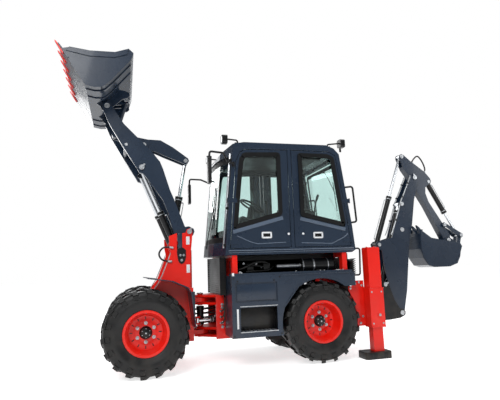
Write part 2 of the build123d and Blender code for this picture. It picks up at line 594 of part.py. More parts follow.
# slide frame across the back with the stabilisers' outer tubes
slide = box(slide_x - slide_depth / 2, slide_x + slide_depth / 2 - 5, -660, 660, slide_low_z - 40, slide_low_z + 40)
slide += box(slide_x - slide_depth / 2, slide_x + slide_depth / 2 - 5, -660, 660, slide_high_z - 40, slide_high_z + 40)
for side in (1, -1):
    slide += box(slide_x, slide_x + 40, side * 560, side * 660, slide_low_z - 40, 960)
    collar = Pos(stab_x, side * stab_y, 0) * box(-stab_collar[0] / 2, stab_collar[0] / 2, -stab_collar[1] / 2,
                                                 stab_collar[1] / 2, stab_bottom, stab_collar_top)
    upper = Pos(stab_x, side * stab_y, 0) * box(-stab_tube[0] / 2, stab_tube[0] / 2, -stab_tube[1] / 2,
                                                stab_tube[1] / 2, stab_collar_top - 10, stab_top)
    outer = collar + upper
    outer -= Pos(stab_x, side * stab_y, 0) * box(-leg_size[0] / 2, leg_size[0] / 2, -leg_size[1] / 2,
                                                 leg_size[1] / 2, stab_bottom - 10, stab_top - 12)
    slide += outer
slide += box(slide_x + 38, chassis_rear - 0.3, -chassis_half, chassis_half, 400, 890)
nodes["slide_frame"] = slide
for word, side in (("left", 1), ("right", -1)):
    leg = Pos(stab_x, side * stab_y, 0) * box(-leg_size[0] / 2 + 3, leg_size[0] / 2 - 3, -leg_size[1] / 2 + 3,
                                              leg_size[1] / 2 - 3, pad_thick - 10, 1180)
    foot = Pos(stab_x + 40, side * stab_y, 1) * extrude(RectangleRounded(pad_size[0], pad_size[1], 40), amount=pad_thick)
    nodes["stabiliser_" + word] = leg + foot

# backhoe carriage, swing post, boom, dipper and bucket
carriage = box(slide_x - slide_depth / 2 - 45, slide_x - slide_depth / 2 - 5, -230, 230, slide_low_z - 75, slide_high_z + 75)
for z in (slide_low_z, slide_high_z):
    for edge_z in (z - 75, z + 45):
        carriage += box(slide_x - slide_depth / 2 - 45, slide_x - 5, -230, 230, edge_z, edge_z + 30)
for z in (slide_low_z, slide_high_z):
    for step in (-66, 36):
        lug = box(swing_x, slide_x - slide_depth / 2 - 40, -110, 110, z + step, z + step + 30)
        lug += Pos(swing_x, 0, z + step + 15) * Cylinder(110, 30)
        carriage += lug
carriage += Pos(swing_x, 0, slide_low_z) * Cylinder(40, 190) + Pos(swing_x, 0, slide_high_z) * Cylinder(40, 190)
nodes["hoe_carriage"] = carriage

post = Pos(swing_x, 0, slide_low_z) * Cylinder(95, 60) + Pos(swing_x, 0, slide_high_z) * Cylinder(95, 60)
post += box(swing_x - 200, swing_x, -70, 70, slide_low_z - 28, slide_low_z + 28)
post += box(swing_x - 200, swing_x, -70, 70, slide_high_z - 28, slide_high_z + 28)
post_side = behind([(-122, 410), (-200, 410), (-400, 430), (-485, 470), (-495, 520), (-460, 560), (-400, 575),
             (-320, 700), (-250, 900), (-220, 985), (-170, 1008), (-130, 985), (-122, 900)])
post += pair(post_side, boom_half + 6, boom_half + 30)
post += box(swing_x - 162, swing_x - 122, -boom_half - 30, boom_half + 30, 410, 890)
post += pin(boom_foot, -boom_half - 30, boom_half + 30, 26)
post += pin(boom_base_pin, -boom_half - 30, boom_half + 30, 22)
post -= Pos(swing_x, 0, 660) * Cylinder(40 + fit, 800)
nodes["swing_post"] = post

boom_side = behind([(-435, 445), (-385, 460), (-355, 511), (-279, 862), (-223, 1055), (-191, 1312), (-173, 1500),
             (-87, 1530), (-72, 1600), (-112, 1642), (-240, 1660), (-371, 1697), (-419, 1828), (-540, 2127),
             (-590, 2280), (-680, 2440), (-790, 2660), (-830, 2745), (-887, 2768), (-940, 2745), (-954, 2690),
             (-910, 2520), (-846, 2330), (-766, 1908), (-678, 1576), (-572, 848), (-496, 520), (-480, 465)])
boom = pair(boom_side, boom_half - boom_plate, boom_half)
web = behind([(-489, 610), (-572, 848), (-678, 1576), (-766, 1908), (-835, 2280), (-815, 2284), (-746, 1912),
       (-658, 1580), (-552, 852), (-470, 616)])
boom += plate(web, -boom_half + 2, boom_half - 2)
boom += pin(boom_foot, -boom_half, boom_half, 52)
boom -= pin(boom_foot, -200, 200, 26 + fit)
boom += pin(boom_eye, -boom_half - 14, -52, 36) + pin(boom_eye, 52, boom_half + 14, 36)
boom += pin(dipper_base_pin, -boom_half - 8, boom_half + 8, 22)
boom += pin(dipper_pivot, -boom_half - 10, boom_half + 10, 26)
nodes["boom"] = boom

dipper_side = behind([(-690, 3107), (-730, 3092), (-860, 2985), (-980, 2903), (-1110, 2810), (-1210, 2700),
               (-1226, 2650), (-1210, 2605), (-1160, 2588), (-1105, 2540), (-1095, 2440), (-1143, 2291), (-1500, 1735),
               (-1502, 1610), (-1440, 1578), (-1385, 1610), (-1355, 1690), (-1080, 2230), (-880, 2560),
               (-825, 2640), (-790, 2740), (-720, 2840), (-645, 3040), (-652, 3085)])
dipper = plate(dipper_side, -dipper_half, dipper_half)
dipper -= pin(dipper_pivot, -200, 200, 26 + fit)
dipper -= pin(hoe_pin, -200, 200, 24 + fit)
tail_slot = behind([(-600, 2880), (-702, 2884), (-770, 2918), (-812, 2945), (-818, 3000), (-818, 3260), (-600, 3260)])
dipper -= plate(tail_slot, -dipper_slot, dipper_slot)
dipper -= plate(behind([(-1110, 2540), (-1270, 2540), (-1270, 2720), (-1140, 2720)]), -44, 44)
dipper += pin(hoe_cylinder_base, -dipper_half, dipper_half, 20)
dipper += pin(hoe_rocker_pin, -dipper_half - 26, dipper_half + 26, 20)
nodes["dipper"] = dipper

ear_in = dipper_half + 6
ear_out = ear_in + 20
hoe_outer = behind([(-840, 1812), (-832, 1700), (-830, 1500), (-860, 1360), (-940, 1245), (-1040, 1215), (-1334, 1216),
             (-1479, 1262), (-1540, 1370), (-1565, 1445), (-1320, 1540)])
hoe_inner = offset_shell(hoe_outer, -14)
hoe_bucket = plate(hoe_outer + hoe_inner[::-1], -hoe_half, hoe_half)
hoe_side = hoe_outer[:9] + behind([(-1608, 1530), (-1575, 1585), (-1242, 1640), (-1030, 1678)])
for y0 in (-hoe_half, hoe_half - 14):
    hoe_bucket += plate(hoe_side, y0, y0 + 14)
hoe_ear = behind([(-1320, 1545), (-1340, 1640), (-1395, 1672), (-1440, 1688), (-1485, 1675), (-1600, 1600), (-1655, 1545),
           (-1678, 1505), (-1665, 1470), (-1630, 1455), (-1565, 1446)])
hoe_bucket += pair(hoe_ear, ear_in, ear_out)
hoe_bucket -= pin(hoe_pin, -150, 150, 25)
hoe_bucket += pin(hoe_pin, -ear_out - 8, ear_out + 8, 24)
hoe_bucket += pin(hoe_link_pin, 61, ear_out + 8, 22) + pin(hoe_link_pin, -ear_out - 8, -61, 22)
hoe_tooth = behind([(-775, 1885), (-800, 1800), (-826, 1740), (-854, 1746), (-852, 1812), (-820, 1850)])
for index in range(4):
    y = -hoe_half + 26 + (2 * hoe_half - 52) / 3 * index
    hoe_bucket += plate(hoe_tooth, y - 22, y + 22)
nodes["hoe_bucket"] = hoe_bucket

hoe_rocker = pair(behind([(-1430, 1862), (-1380, 1858), (-1355, 1880), (-1358, 1920), (-1390, 1942), (-1696, 1765),
                   (-1736, 1745), (-1740, 1705), (-1710, 1678), (-1670, 1690)]), ear_in, ear_out)
hoe_rocker -= pin(hoe_rocker_pin, -150, 150, 20 + fit)
hoe_rocker += pin(hoe_rocker_end, 31, ear_out + 6, 18) + pin(hoe_rocker_end, -ear_out - 6, -31, 18)
nodes["hoe_rocker"] = hoe_rocker


def strap(a, b, width, y0, y1):
    dx = b[0] - a[0]
    dz = b[1] - a[1]
    length = math.hypot(dx, dz)
    nx = -dz / length * width
    nz = dx / length * width
    body = plate([(a[0] + nx, a[1] + nz), (b[0] + nx, b[1] + nz), (b[0] - nx, b[1] - nz), (a[0] - nx, a[1] - nz)], y0, y1)
    return body + pin(a, y0, y1, width) + pin(b, y0, y1, width)


hoe_link = Part()
for y0 in (-58, 34):
    hoe_link += strap(hoe_rocker_end, hoe_link_pin, 34, y0, y0 + 24)
hoe_link += box((hoe_rocker_end[0] + hoe_link_pin[0]) / 2 - 16, (hoe_rocker_end[0] + hoe_link_pin[0]) / 2 + 16, -40, 40,
                (hoe_rocker_end[1] + hoe_link_pin[1]) / 2 - 40, (hoe_rocker_end[1] + hoe_link_pin[1]) / 2 + 6)
hoe_link -= pin(hoe_rocker_end, -150, 150, 18 + fit)
hoe_link -= pin(hoe_link_pin, -150, 150, 18 + fit)
nodes["hoe_link"] = hoe_link

boom_length = math.dist(boom_base_pin, boom_eye)
nodes["boom_barrel"] = barrel(boom_base_pin, boom_eye, boom_length - 110, 41, 24, 0, 44, 60) - pin(boom_base_pin, -90, 90, 22 + fit)
nodes["boom_rod"] = rod(boom_base_pin, boom_eye, 420, 24, 0, 38, 45)
dipper_length = math.dist(dipper_base_pin, dipper_tail)
nodes["dipper_barrel"] = barrel(dipper_base_pin, dipper_tail, 850, 39, 23, 0, 42, 60) - pin(dipper_base_pin, -90, 90, 22 + fit)
nodes["dipper_rod"] = rod(dipper_base_pin, dipper_tail, 770, 23, 0, 36, 34)
hoe_length = math.dist(hoe_cylinder_base, hoe_rocker_end)
nodes["hoe_barrel"] = barrel(hoe_cylinder_base, hoe_rocker_end, 610, 40, 22, 0, 42, 38) - pin(hoe_cylinder_base, -90, 90, 20 + fit)
nodes["hoe_rod"] = rod(hoe_cylinder_base, hoe_rocker_end, 558, 22, 0, 32, 28) - pin(hoe_rocker_end, -90, 90, 18 + fit)


def steering(start, length, radius):
    whole = math.dist(steer_base, steer_eye)
    near = between(steer_base, steer_eye, start)
    far = between(steer_base, steer_eye, length)
    return bar((near[0], near[1], steer_z), (far[0], far[1], steer_z), radius), whole


steer_length = math.dist(steer_base, steer_eye)
body, whole = steering(20, 530, steer_barrel_radius)
body += Pos(steer_base[0], steer_base[1], steer_z) * Cylinder(34, 64)
cut, whole = steering(60, 540, steer_rod_radius + fit)
nodes["steer_barrel"] = body - Pos(steer_base[0], steer_base[1], steer_z) * Cylinder(18 + fit, 80) - cut
body, whole = steering(330, steer_length, steer_rod_radius)
nodes["steer_rod"] = body + Pos(steer_eye[0], steer_eye[1], steer_z) * Cylinder(26, 58)

# hoses held at both ends: a loop ahead of the left tower plate and one over the dipper's back
tower_hose_y = tower_outer + hose_radius + seat_gap
tower_hose_line = [(-372, 1592), (-262, 1622), (-186, 1548), (-186, 1478), (-246, 1418), (-352, 1410)]
nodes["tower_hose"] = tube([(x, tower_hose_y, z) for x, z in tower_hose_line], hose_radius, 70)
dipper_hose_line = behind([(-890.2, 2964.8), (-992, 3118), (-1092, 3030), (-1166, 2841), (-1120.3, 2799.3)])
nodes["dipper_hose"] = tube([(x, 30, z) for x, z in dipper_hose_line], hose_radius, 39)

low = min(node.bounding_box().min.X for node in nodes.values())
high = max(node.bounding_box().max.X for node in nodes.values())
middle = round((low + high) / 2, 3)

if __name__ == "__main__":
    os.makedirs("parts", exist_ok=True)
    for name, node in nodes.items():
        export_step(Pos(-middle, 0, 0) * node, "parts/" + name + ".step")
    print(len(nodes), "nodes, length", round(high - low), "middle", middle)
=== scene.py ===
import bpy
import bmesh
import math
from mathutils import Matrix, Vector


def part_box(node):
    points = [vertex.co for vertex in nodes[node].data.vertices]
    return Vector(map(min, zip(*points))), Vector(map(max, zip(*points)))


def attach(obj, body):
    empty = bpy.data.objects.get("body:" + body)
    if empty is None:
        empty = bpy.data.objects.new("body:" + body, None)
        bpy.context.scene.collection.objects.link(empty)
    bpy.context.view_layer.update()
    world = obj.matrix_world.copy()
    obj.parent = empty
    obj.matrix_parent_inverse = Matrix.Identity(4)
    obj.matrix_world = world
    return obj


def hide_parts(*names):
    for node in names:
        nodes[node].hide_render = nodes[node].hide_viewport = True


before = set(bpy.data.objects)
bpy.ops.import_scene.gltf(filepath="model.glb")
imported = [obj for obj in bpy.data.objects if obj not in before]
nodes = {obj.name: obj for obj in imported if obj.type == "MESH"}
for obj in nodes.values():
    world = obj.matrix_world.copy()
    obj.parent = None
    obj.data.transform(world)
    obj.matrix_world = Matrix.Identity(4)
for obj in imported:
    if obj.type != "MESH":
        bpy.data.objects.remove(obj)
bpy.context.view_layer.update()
print("frame loaded:", len(nodes), "nodes")

# places are in metres from the front axle on the ground: forward, left, up
axleLow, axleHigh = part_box("front_axle")
axleX = (axleLow.x + axleHigh.x) / 2
axleZ = (axleLow.z + axleHigh.z) / 2
sides = (("left", 1), ("right", -1))
bothSides = (1, -1)


def spot(x, y, z):
    return Vector((x + axleX, y, z))


def tone(*shade):
    # red, green and blue, 0 to 255 as seen on a screen, made linear
    return tuple(c / 255 / 12.92 if c < 11 else ((c / 255 + 0.055) / 1.055) ** 2.4 for c in shade) + (1,)


# shader groups

def addNode(tree, kind, **values):
    node = tree.nodes.new(kind)
    for key, value in values.items():
        setattr(node, key, value)
    return node


def addMath(tree, operation, first, second=None):
    node = addNode(tree, "ShaderNodeMath", operation=operation, use_clamp=True)
    for index, value in enumerate((first, second)):
        if isinstance(value, (int, float)):
            node.inputs[index].default_value = value
        elif value is not None:
            tree.links.new(value, node.inputs[index])
    return node.outputs[0]


def addMix(tree, factor, first, second):
    node = addNode(tree, "ShaderNodeMix", data_type="RGBA")
    for socket, value in ((node.inputs[0], factor), (node.inputs[6], first), (node.inputs[7], second)):
        if hasattr(value, "is_output"):
            tree.links.new(value, socket)
        else:
            socket.default_value = value
    return node.outputs[2]


def addNoise(tree, coordinate, scale, detail=4.0):
    node = addNode(tree, "ShaderNodeTexNoise")
    tree.links.new(coordinate, node.inputs["Vector"])
    node.inputs["Detail"].default_value = detail
    if hasattr(scale, "is_output"):
        tree.links.new(scale, node.inputs["Scale"])
    else:
        node.inputs["Scale"].default_value = scale
    return node.outputs["Fac"]


def addRamp(tree, value, low, high, newLow=0.0, newHigh=1.0):
    node = addNode(tree, "ShaderNodeMapRange", clamp=True)
    tree.links.new(value, node.inputs["Value"])
    for name, number in (("From Min", low), ("From Max", high), ("To Min", newLow), ("To Max", newHigh)):
        if hasattr(number, "is_output"):
            tree.links.new(number, node.inputs[name])
        else:
            node.inputs[name].default_value = number
    return node.outputs["Result"]


def mixShaders(tree, factor, first, second):
    node = addNode(tree, "ShaderNodeMixShader")
    for socket, output in zip(node.inputs, (factor, first.outputs[0], second.outputs[0])):
        tree.links.new(output, socket)
    return node.outputs[0]


def newGroup(name, sockets, results):
    tree = bpy.data.node_groups.new(name, "ShaderNodeTree")
    for label, kind, value in sockets:
        socket = tree.interface.new_socket(name=label, in_out="INPUT", socket_type="NodeSocket" + kind)
        socket.default_value = value
    for label, kind in results:
        tree.interface.new_socket(name=label, in_out="OUTPUT", socket_type="NodeSocket" + kind)
    return tree, addNode(tree, "NodeGroupInput"), addNode(tree, "NodeGroupOutput")


def makeFinishGroup():
    # a coat with uneven colour, dust that settles low down, rubbed edges and a fine grain
    grey = (0.5, 0.5, 0.5, 1)
    tree, given, result = newGroup("wornFinish", [
        ("Base", "Color", grey), ("Second", "Color", grey), ("Mottle Scale", "Float", 2.0), ("Mottle", "Float", 0.5),
        ("Dust", "Color", tone(150, 138, 120)), ("Dust Top", "Float", 1.2), ("Dust Amount", "Float", 0.15),
        ("Bare", "Color", grey), ("Edge Radius", "Float", 0.003), ("Edge Wear", "Float", 0.3),
        ("Grain Scale", "Float", 300.0), ("Grain Depth", "Float", 0.0002),
        ("Rough", "Float", 0.4), ("Rough Spread", "Float", 0.15)],
        [("Colour", "Color"), ("Roughness", "Float"), ("Normal", "Vector")])
    link = tree.links.new
    where = addNode(tree, "ShaderNodeTexCoord").outputs["Object"]
    mottle = addRamp(tree, addNoise(tree, where, given.outputs["Mottle Scale"]), 0.35, 0.68)
    colour = addMix(tree, addMath(tree, "MULTIPLY", mottle, given.outputs["Mottle"]),
                    given.outputs["Base"], given.outputs["Second"])
    parts = addNode(tree, "ShaderNodeSeparateXYZ")
    link(where, parts.inputs[0])
    low = addRamp(tree, parts.outputs["Z"], 0.0, given.outputs["Dust Top"], 1.0, 0.0)
    patches = addRamp(tree, addNoise(tree, where, 7.0, 7.0), 0.4, 0.72)
    dust = addMath(tree, "MULTIPLY", addMath(tree, "MULTIPLY", low, patches), given.outputs["Dust Amount"])
    colour = addMix(tree, dust, colour, given.outputs["Dust"])
    rounded = addNode(tree, "ShaderNodeBevel", samples=4)
    link(given.outputs["Edge Radius"], rounded.inputs["Radius"])
    facing = addNode(tree, "ShaderNodeVectorMath", operation="DOT_PRODUCT")
    link(rounded.outputs[0], facing.inputs[0])
    link(addNode(tree, "ShaderNodeNewGeometry").outputs["Normal"], facing.inputs[1])
    edge = addRamp(tree, facing.outputs["Value"], 0.80, 0.97, 1.0, 0.0)
    chips = addRamp(tree, addNoise(tree, where, 26.0, 6.0), 0.5, 0.62)
    rubbed = addMath(tree, "MULTIPLY", addMath(tree, "MULTIPLY", edge, chips), given.outputs["Edge Wear"])
    link(addMix(tree, rubbed, colour, given.outputs["Bare"]), result.inputs["Colour"])
    uneven = addRamp(tree, addNoise(tree, where, 3.5, 5.0), 0.3, 0.7, -0.5, 0.5)
    spread = addNode(tree, "ShaderNodeMath", operation="MULTIPLY_ADD", use_clamp=True)
    link(uneven, spread.inputs[0])
    link(given.outputs["Rough Spread"], spread.inputs[1])
    link(given.outputs["Rough"], spread.inputs[2])
    link(addMath(tree, "ADD", spread.outputs[0], dust), result.inputs["Roughness"])
    bump = addNode(tree, "ShaderNodeBump")
    bump.inputs["Strength"].default_value = 1.0
    link(given.outputs["Grain Depth"], bump.inputs["Distance"])
    link(addNoise(tree, where, given.outputs["Grain Scale"], 3.0), bump.inputs["Height"])
    link(rounded.outputs[0], bump.inputs["Normal"])
    link(bump.outputs[0], result.inputs["Normal"])
    return tree


finishGroup = makeFinishGroup()


# each finish: its tones, the numbers of its coat and what its shader sets
coatTones = ("Base", "Second", "Bare", "Dust")
coatNumbers = ("Mottle Scale", "Mottle", "Edge Radius", "Edge Wear", "Dust Amount", "Grain Scale", "Grain Depth",
               "Rough", "Rough Spread", "Dust Top")
finishes = {
    # a lighter copy of the slate paint: painted highlight for the lit bevels of the door ledges, crease lines and
    # cab sills
    "slatePaintedHighlight": (((74, 88, 106), (92, 106, 124), (88, 102, 118)),
                  (1.3, 0.5, 0.004, 0.3, 0.1, 420, 0.00012, 0.24, 0.1),
                  {"Coat Weight": 0.6, "Coat Roughness": 0.08}),
    "slatePaint": (((25, 38, 54), (35, 50, 69), (88, 102, 118)),
                   (1.3, 0.5, 0.004, 0.3, 0.1, 420, 0.00012, 0.28, 0.1),
                   {"Coat Weight": 0.2, "Coat Roughness": 0.06, "Specular IOR Level": 0.3}),
    "redPaint": (((232, 28, 12), (208, 20, 10), (240, 120, 100)),
                 (1.6, 0.6, 0.005, 0.35, 0.1, 420, 0.00012, 0.32, 0.1),
                 {"Coat Weight": 0.15, "Coat Roughness": 0.1, "Specular IOR Level": 0.3}),
    "blackPaint": (((9, 10, 12), (16, 17, 20), (92, 94, 98)),
                   (2.0, 0.6, 0.003, 0.4, 0.12, 500, 0.0001, 0.36, 0.14),
                   {"Coat Weight": 0.1, "Coat Roughness": 0.1, "Specular IOR Level": 0.25}),
    "blackPlastic": (((9, 10, 11), (16, 17, 18), (60, 61, 63)),
                     (2.0, 0.4, 0.003, 0.3, 0.1, 900, 0.0004, 0.5, 0.12),
                     {"Specular IOR Level": 0.2}),
    "tyreRubber": (((11, 12, 13), (22, 22, 22), (110, 110, 108), (112, 106, 98)),
                   (5.0, 0.7, 0.004, 0.5, 0.14, 260, 0.0006, 0.42, 0.2, 1.1),
                   {"Specular IOR Level": 0.3}),
    "hoseRubber": (((18, 18, 19), (28, 28, 28), (50, 50, 50)),
                   (20, 0.6, 0.001, 0.0, 0.15, 700, 0.0003, 0.42, 0.1),
                   {"Specular IOR Level": 0.3}),
    "chromedRod": (((214, 217, 220), (196, 200, 205), (230, 230, 230)),
                   (9.0, 0.6, 0.002, 0.1, 0.0, 1500, 0.00002, 0.12, 0.08),
                   {"Metallic": 1.0}),
    "zincSteel": (((186, 189, 192), (150, 154, 158), (225, 225, 225)),
                  (30, 0.8, 0.0015, 0.5, 0.15, 600, 0.0001, 0.34, 0.2),
                  {"Metallic": 0.9}),
    "seatVinyl": (((30, 31, 34), (44, 45, 48), (80, 80, 82)),
                  (6.0, 0.6, 0.004, 0.2, 0.15, 320, 0.0011, 0.5, 0.15),
                  {"Sheen Weight": 0.15}),
    "paleStrip": (((226, 228, 230), (205, 208, 212), (190, 190, 190)),
                  (2.0, 0.5, 0.001, 0.2, 0.3, 900, 0.0003, 0.3, 0.1),
                  {}),
    "mirrorFace": (((225, 228, 230), (210, 214, 218), (225, 228, 230)),
                   (2.0, 0.3, 0.001, 0.0, 0.0, 2.0, 0.0, 0.04, 0.02),
                   {"Metallic": 1.0}),
}


def makeFinish(name, tones, numbers, shader):
    material = bpy.data.materials.new(name)
    material.use_nodes = True
    tree = material.node_tree
    body = tree.nodes["Principled BSDF"]
    coat = addNode(tree, "ShaderNodeGroup", node_tree=finishGroup)
    for key, value in (*zip(coatTones, (tone(*shade) for shade in tones)), *zip(coatNumbers, numbers)):
        coat.inputs[key].default_value = value
    for key, value in shader.items():
        body.inputs[key].default_value = value
    for given, taken in (("Colour", "Base Color"), ("Roughness", "Roughness"), ("Normal", "Normal")):
        tree.links.new(coat.outputs[given], body.inputs[taken])
    material.diffuse_color = tone(*tones[0])
    return material


finish = {name: makeFinish(name, *look) for name, look in finishes.items()}


def makeGlass(name, colour, rough):
    material = bpy.data.materials.new(name)
    material.use_nodes = True
    tree = material.node_tree
    body = tree.nodes["Principled BSDF"]
    where = addNode(tree, "ShaderNodeTexCoord").outputs["Object"]
    film = addRamp(tree, addNoise(tree, where, 2.2, 6.0), 0.45, 0.8, rough, rough + 0.05)
    tree.links.new(film, body.inputs["Roughness"])
    tint = addMix(tree, addRamp(tree, addNoise(tree, where, 0.9, 2.0), 0.3, 0.7), colour,
                  tuple(c * 0.94 for c in colour[:3]) + (1,))
    tree.links.new(tint, body.inputs["Base Color"])
    body.inputs["Transmission Weight"].default_value = 1.0
    body.inputs["IOR"].default_value = 1.45
    return material


finish["cabGlass"] = makeGlass("cabGlass", tone(226, 245, 242), 0.01)
print("finishes made:", len(finish))

cadFinish = {
    "slatePaint": ["loader_arm", "loader_bucket", "rocker", "bucket_link", "side_panels", "cab_shell", "cab_roof",
                   "boom", "dipper", "hoe_bucket", "hoe_rocker", "hoe_link", "front_fenders"],
    "redPaint": ["front_frame", "rear_frame", "front_axle", "rear_axle", "slide_frame", "loader_teeth"],
    "blackPaint": ["engine_block", "radiator_grille", "air_filter", "cab_fittings", "hoe_carriage", "swing_post"],
    "blackPlastic": ["cab_controls", "seat"],
    "hoseRubber": ["tower_hose", "dipper_hose"],
}
wordFinish = (("glass", "cabGlass"), ("tyre_", "tyreRubber"), ("rim_", "redPaint"), ("stabiliser_", "redPaint"),
              ("_door_", "slatePaint"), ("_barrel", "blackPaint"), ("_rod", "chromedRod"))
for name, thing in nodes.items():
    byName = [key for key, names in cadFinish.items() if name in names]
    byWord = [key for word, key in wordFinish if word in name]
    chosen = (byName + byWord)[0]
    thing.data.materials.clear()
    thing.data.materials.append(finish[chosen])


# distances of the machine's faces from its middle, and the upright axes
faces = {"yoke": 0.3301, "tower": 0.4053, "seal": 0.7024, "door": 0.7195, "lid": 0.7835, "panel": 0.7998,
         "slide": 0.8298,
         "hoeBucket": 0.1998}
axes = {"steering": -0.790, "swing": -3.560}


# small builders: each returns a mesh in the making, centred where it says

def at(x, y, z):
    return Matrix.Translation(spot(x, y, z))


def move(*step):
    return Matrix.Translation(step)


def about(axis, angle):
    return Matrix.Rotation(angle, 4, axis)


def aim(direction):
    # turns +Z towards a direction
    return Vector(direction).to_track_quat("Z", "Y").to_matrix().to_4x4()


def shift(shape, matrix):
    bmesh.ops.transform(shape, matrix=matrix, verts=shape.verts)
    return shape


def pull(shape, step):
    # draws flat faces out into a solid
    grown = bmesh.ops.extrude_face_region(shape, geom=shape.faces[:])
    moved = [v for v in grown["geom"] if isinstance(v, bmesh.types.BMVert)]
    bmesh.ops.translate(shape, verts=moved, vec=step)
    bmesh.ops.recalc_face_normals(shape, faces=shape.faces)
    return shape


def soften(shape, width, segments=2, angle=30):
    sharp = [e for e in shape.edges if len(e.link_faces) == 2 and e.calc_face_angle(0) > math.radians(angle)]
    bmesh.ops.bevel(shape, geom=sharp, offset=width, segments=segments, profile=0.5, affect="EDGES",
                    clamp_overlap=True, material=-1)
    return shape


def roundCorners(shape, radius, segments):
    bmesh.ops.bevel(shape, geom=shape.verts[:], offset=radius, segments=segments, profile=0.5, affect="VERTICES",
                    clamp_overlap=True, material=-1)


def block(size, width=0.002, segments=2):
    shape = bmesh.new()
    bmesh.ops.create_cube(shape, size=1)
    shift(shape, Matrix.Diagonal(Vector((*size, 1))))
    return soften(shape, width, segments)


def disc(radius, height, width=0.001, sides=40):
    # stands on the plane z = 0
    shape = bmesh.new()
    bmesh.ops.create_cone(shape, cap_ends=True, segments=sides, radius1=radius, radius2=radius, depth=height)
    return soften(shift(shape, move(0, 0, height / 2)), width, 1, 40)


def lathe(profile, steps=72):
    # profile of (radius, height) pairs turned about +Z
    shape = bmesh.new()
    points = [shape.verts.new((radius, 0, height)) for radius, height in profile]
    edges = [shape.edges.new(pair) for pair in zip(points, points[1:])]
    if profile[0][0] > 1e-6 and profile[-1][0] > 1e-6:
        edges.append(shape.edges.new((points[-1], points[0])))
    bmesh.ops.spin(shape, geom=points + edges, cent=(0, 0, 0), axis=(0, 0, 1), angle=math.tau, steps=steps,
                   use_merge=True)
    bmesh.ops.remove_doubles(shape, verts=shape.verts, dist=1e-5)
    bmesh.ops.recalc_face_normals(shape, faces=shape.faces)
    return shape


def sleeve(inner, outer, height, steps=40):
    return lathe([(outer, 0), (outer, height), (inner, height), (inner, 0)], steps)


def outlineFace(outline):
    shape = bmesh.new()
    shape.faces.new([shape.verts.new((x, 0, z)) for x, z in outline])
    return shape


def slab(outline, thickness, width=0.001, segments=1):
    # an outline of (x, z) pairs, from y = 0 to y = thickness
    shape = pull(outlineFace(outline), (0, thickness, 0))
    return soften(shape, width, segments) if width else shape


def strip(points, wide, thick, width=0.0015):
    # a band along a line of (x, z) pairs
    upper = []
    lower = []
    for index, (x, z) in enumerate(points):
        before = points[max(index - 1, 0)]
        after = points[min(index + 1, len(points) - 1)]
        length = math.dist(before, after)
        dx, dz = (after[0] - before[0]) / length * wide / 2, (after[1] - before[1]) / length * wide / 2
        upper.append((x - dz, z + dx))
        lower.append((x + dz, z - dx))
    return slab(upper + lower[::-1], thick, width)


def ring(outline, wide, thick, corner=0.035, width=0.002):
    # a flat frame inside an outline of (x, z) pairs, from y = 0 to y = thick
    shape = outlineFace(outline)
    roundCorners(shape, corner, 5)
    rim = set(bmesh.ops.inset_region(shape, faces=shape.faces[:], thickness=wide, use_even_offset=True,
                                     use_boundary=True)["faces"])
    bmesh.ops.delete(shape, geom=[f for f in shape.faces if f not in rim], context="FACES")
    bmesh.ops.solidify(shape, geom=shape.faces[:], thickness=thick)
    bmesh.ops.recalc_face_normals(shape, faces=shape.faces)
    shift(shape, move(0, -min(v.co.y for v in shape.verts), 0))
    return soften(shape, width, 1)


def toMesh(name, kit):
    mesh = bpy.data.meshes.new(name)
    kit.to_mesh(mesh)
    kit.free()
    return mesh


def add(kit, shape, matrix=Matrix()):
    scrap = toMesh("scrap", shift(shape, matrix))
    kit.from_mesh(scrap)
    bpy.data.meshes.remove(scrap)


def copyInto(kit, shape, matrices):
    for matrix in matrices:
        add(kit, shape.copy(), matrix)
    shape.free()


def addPair(kit, shape, x, y, z, turn=Matrix()):
    # the same shape at the same place on the left and on the right
    copyInto(kit, shape, [at(x, side * y, z) @ turn for side in bothSides])


def onSide(shape, side, y):
    # sets a shape that lies on y = 0, in machine lengths, against a face on the left or the right
    shift(shape, move(axleX, side * y, 0) @ Matrix.Diagonal((1, side, 1, 1)))
    if side < 0:
        bmesh.ops.reverse_faces(shape, faces=shape.faces)
    return shape


def mirrorPair(kit, shape, y):
    for side in bothSides:
        add(kit, onSide(shape.copy(), side, y))
    shape.free()


def bolt(size=0.012, high=0.010, washer=True):
    # hexagon head on a flat washer, standing on z = 0
    shape = bmesh.new()
    if washer:
        add(shape, disc(size * 1.35, 0.003, 0.0008, 20))
    head = bmesh.new()
    bmesh.ops.create_cone(head, cap_ends=True, segments=6, radius1=size, radius2=size, depth=high)
    top = [f for f in head.faces if f.normal.z > 0.9]
    bmesh.ops.inset_region(head, faces=top, thickness=size * 0.14, depth=size * 0.1)
    add(shape, head, move(0, 0, high / 2 + 0.002))
    return shape


def facePair(kit, shape, x, y, z):
    # the same shape facing out on both sides
    copyInto(kit, shape, [at(x, side * y, z) @ aim((0, side, 0)) for side in bothSides])


def boltPairs(kit, y, size, high, rows):
    # rows of (x, z)
    for x, z in rows:
        facePair(kit, bolt(size, high), x, y, z)


def show(name, data):
    piece = bpy.data.objects.new(name, data)
    bpy.context.scene.collection.objects.link(piece)
    return piece


def dress(piece, finishName, body, replaced=()):
    piece.data.materials.append(finish[finishName])
    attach(piece, body)
    if replaced:
        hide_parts(*replaced)


def place(kit, name, finishName, body="rear_frame", replaced=()):
    mesh = toMesh(name, kit)
    for face in mesh.polygons:
        face.use_smooth = True
    mesh.set_sharp_from_angle(angle=math.radians(32))
    dress(show(name, mesh), finishName, body, replaced)


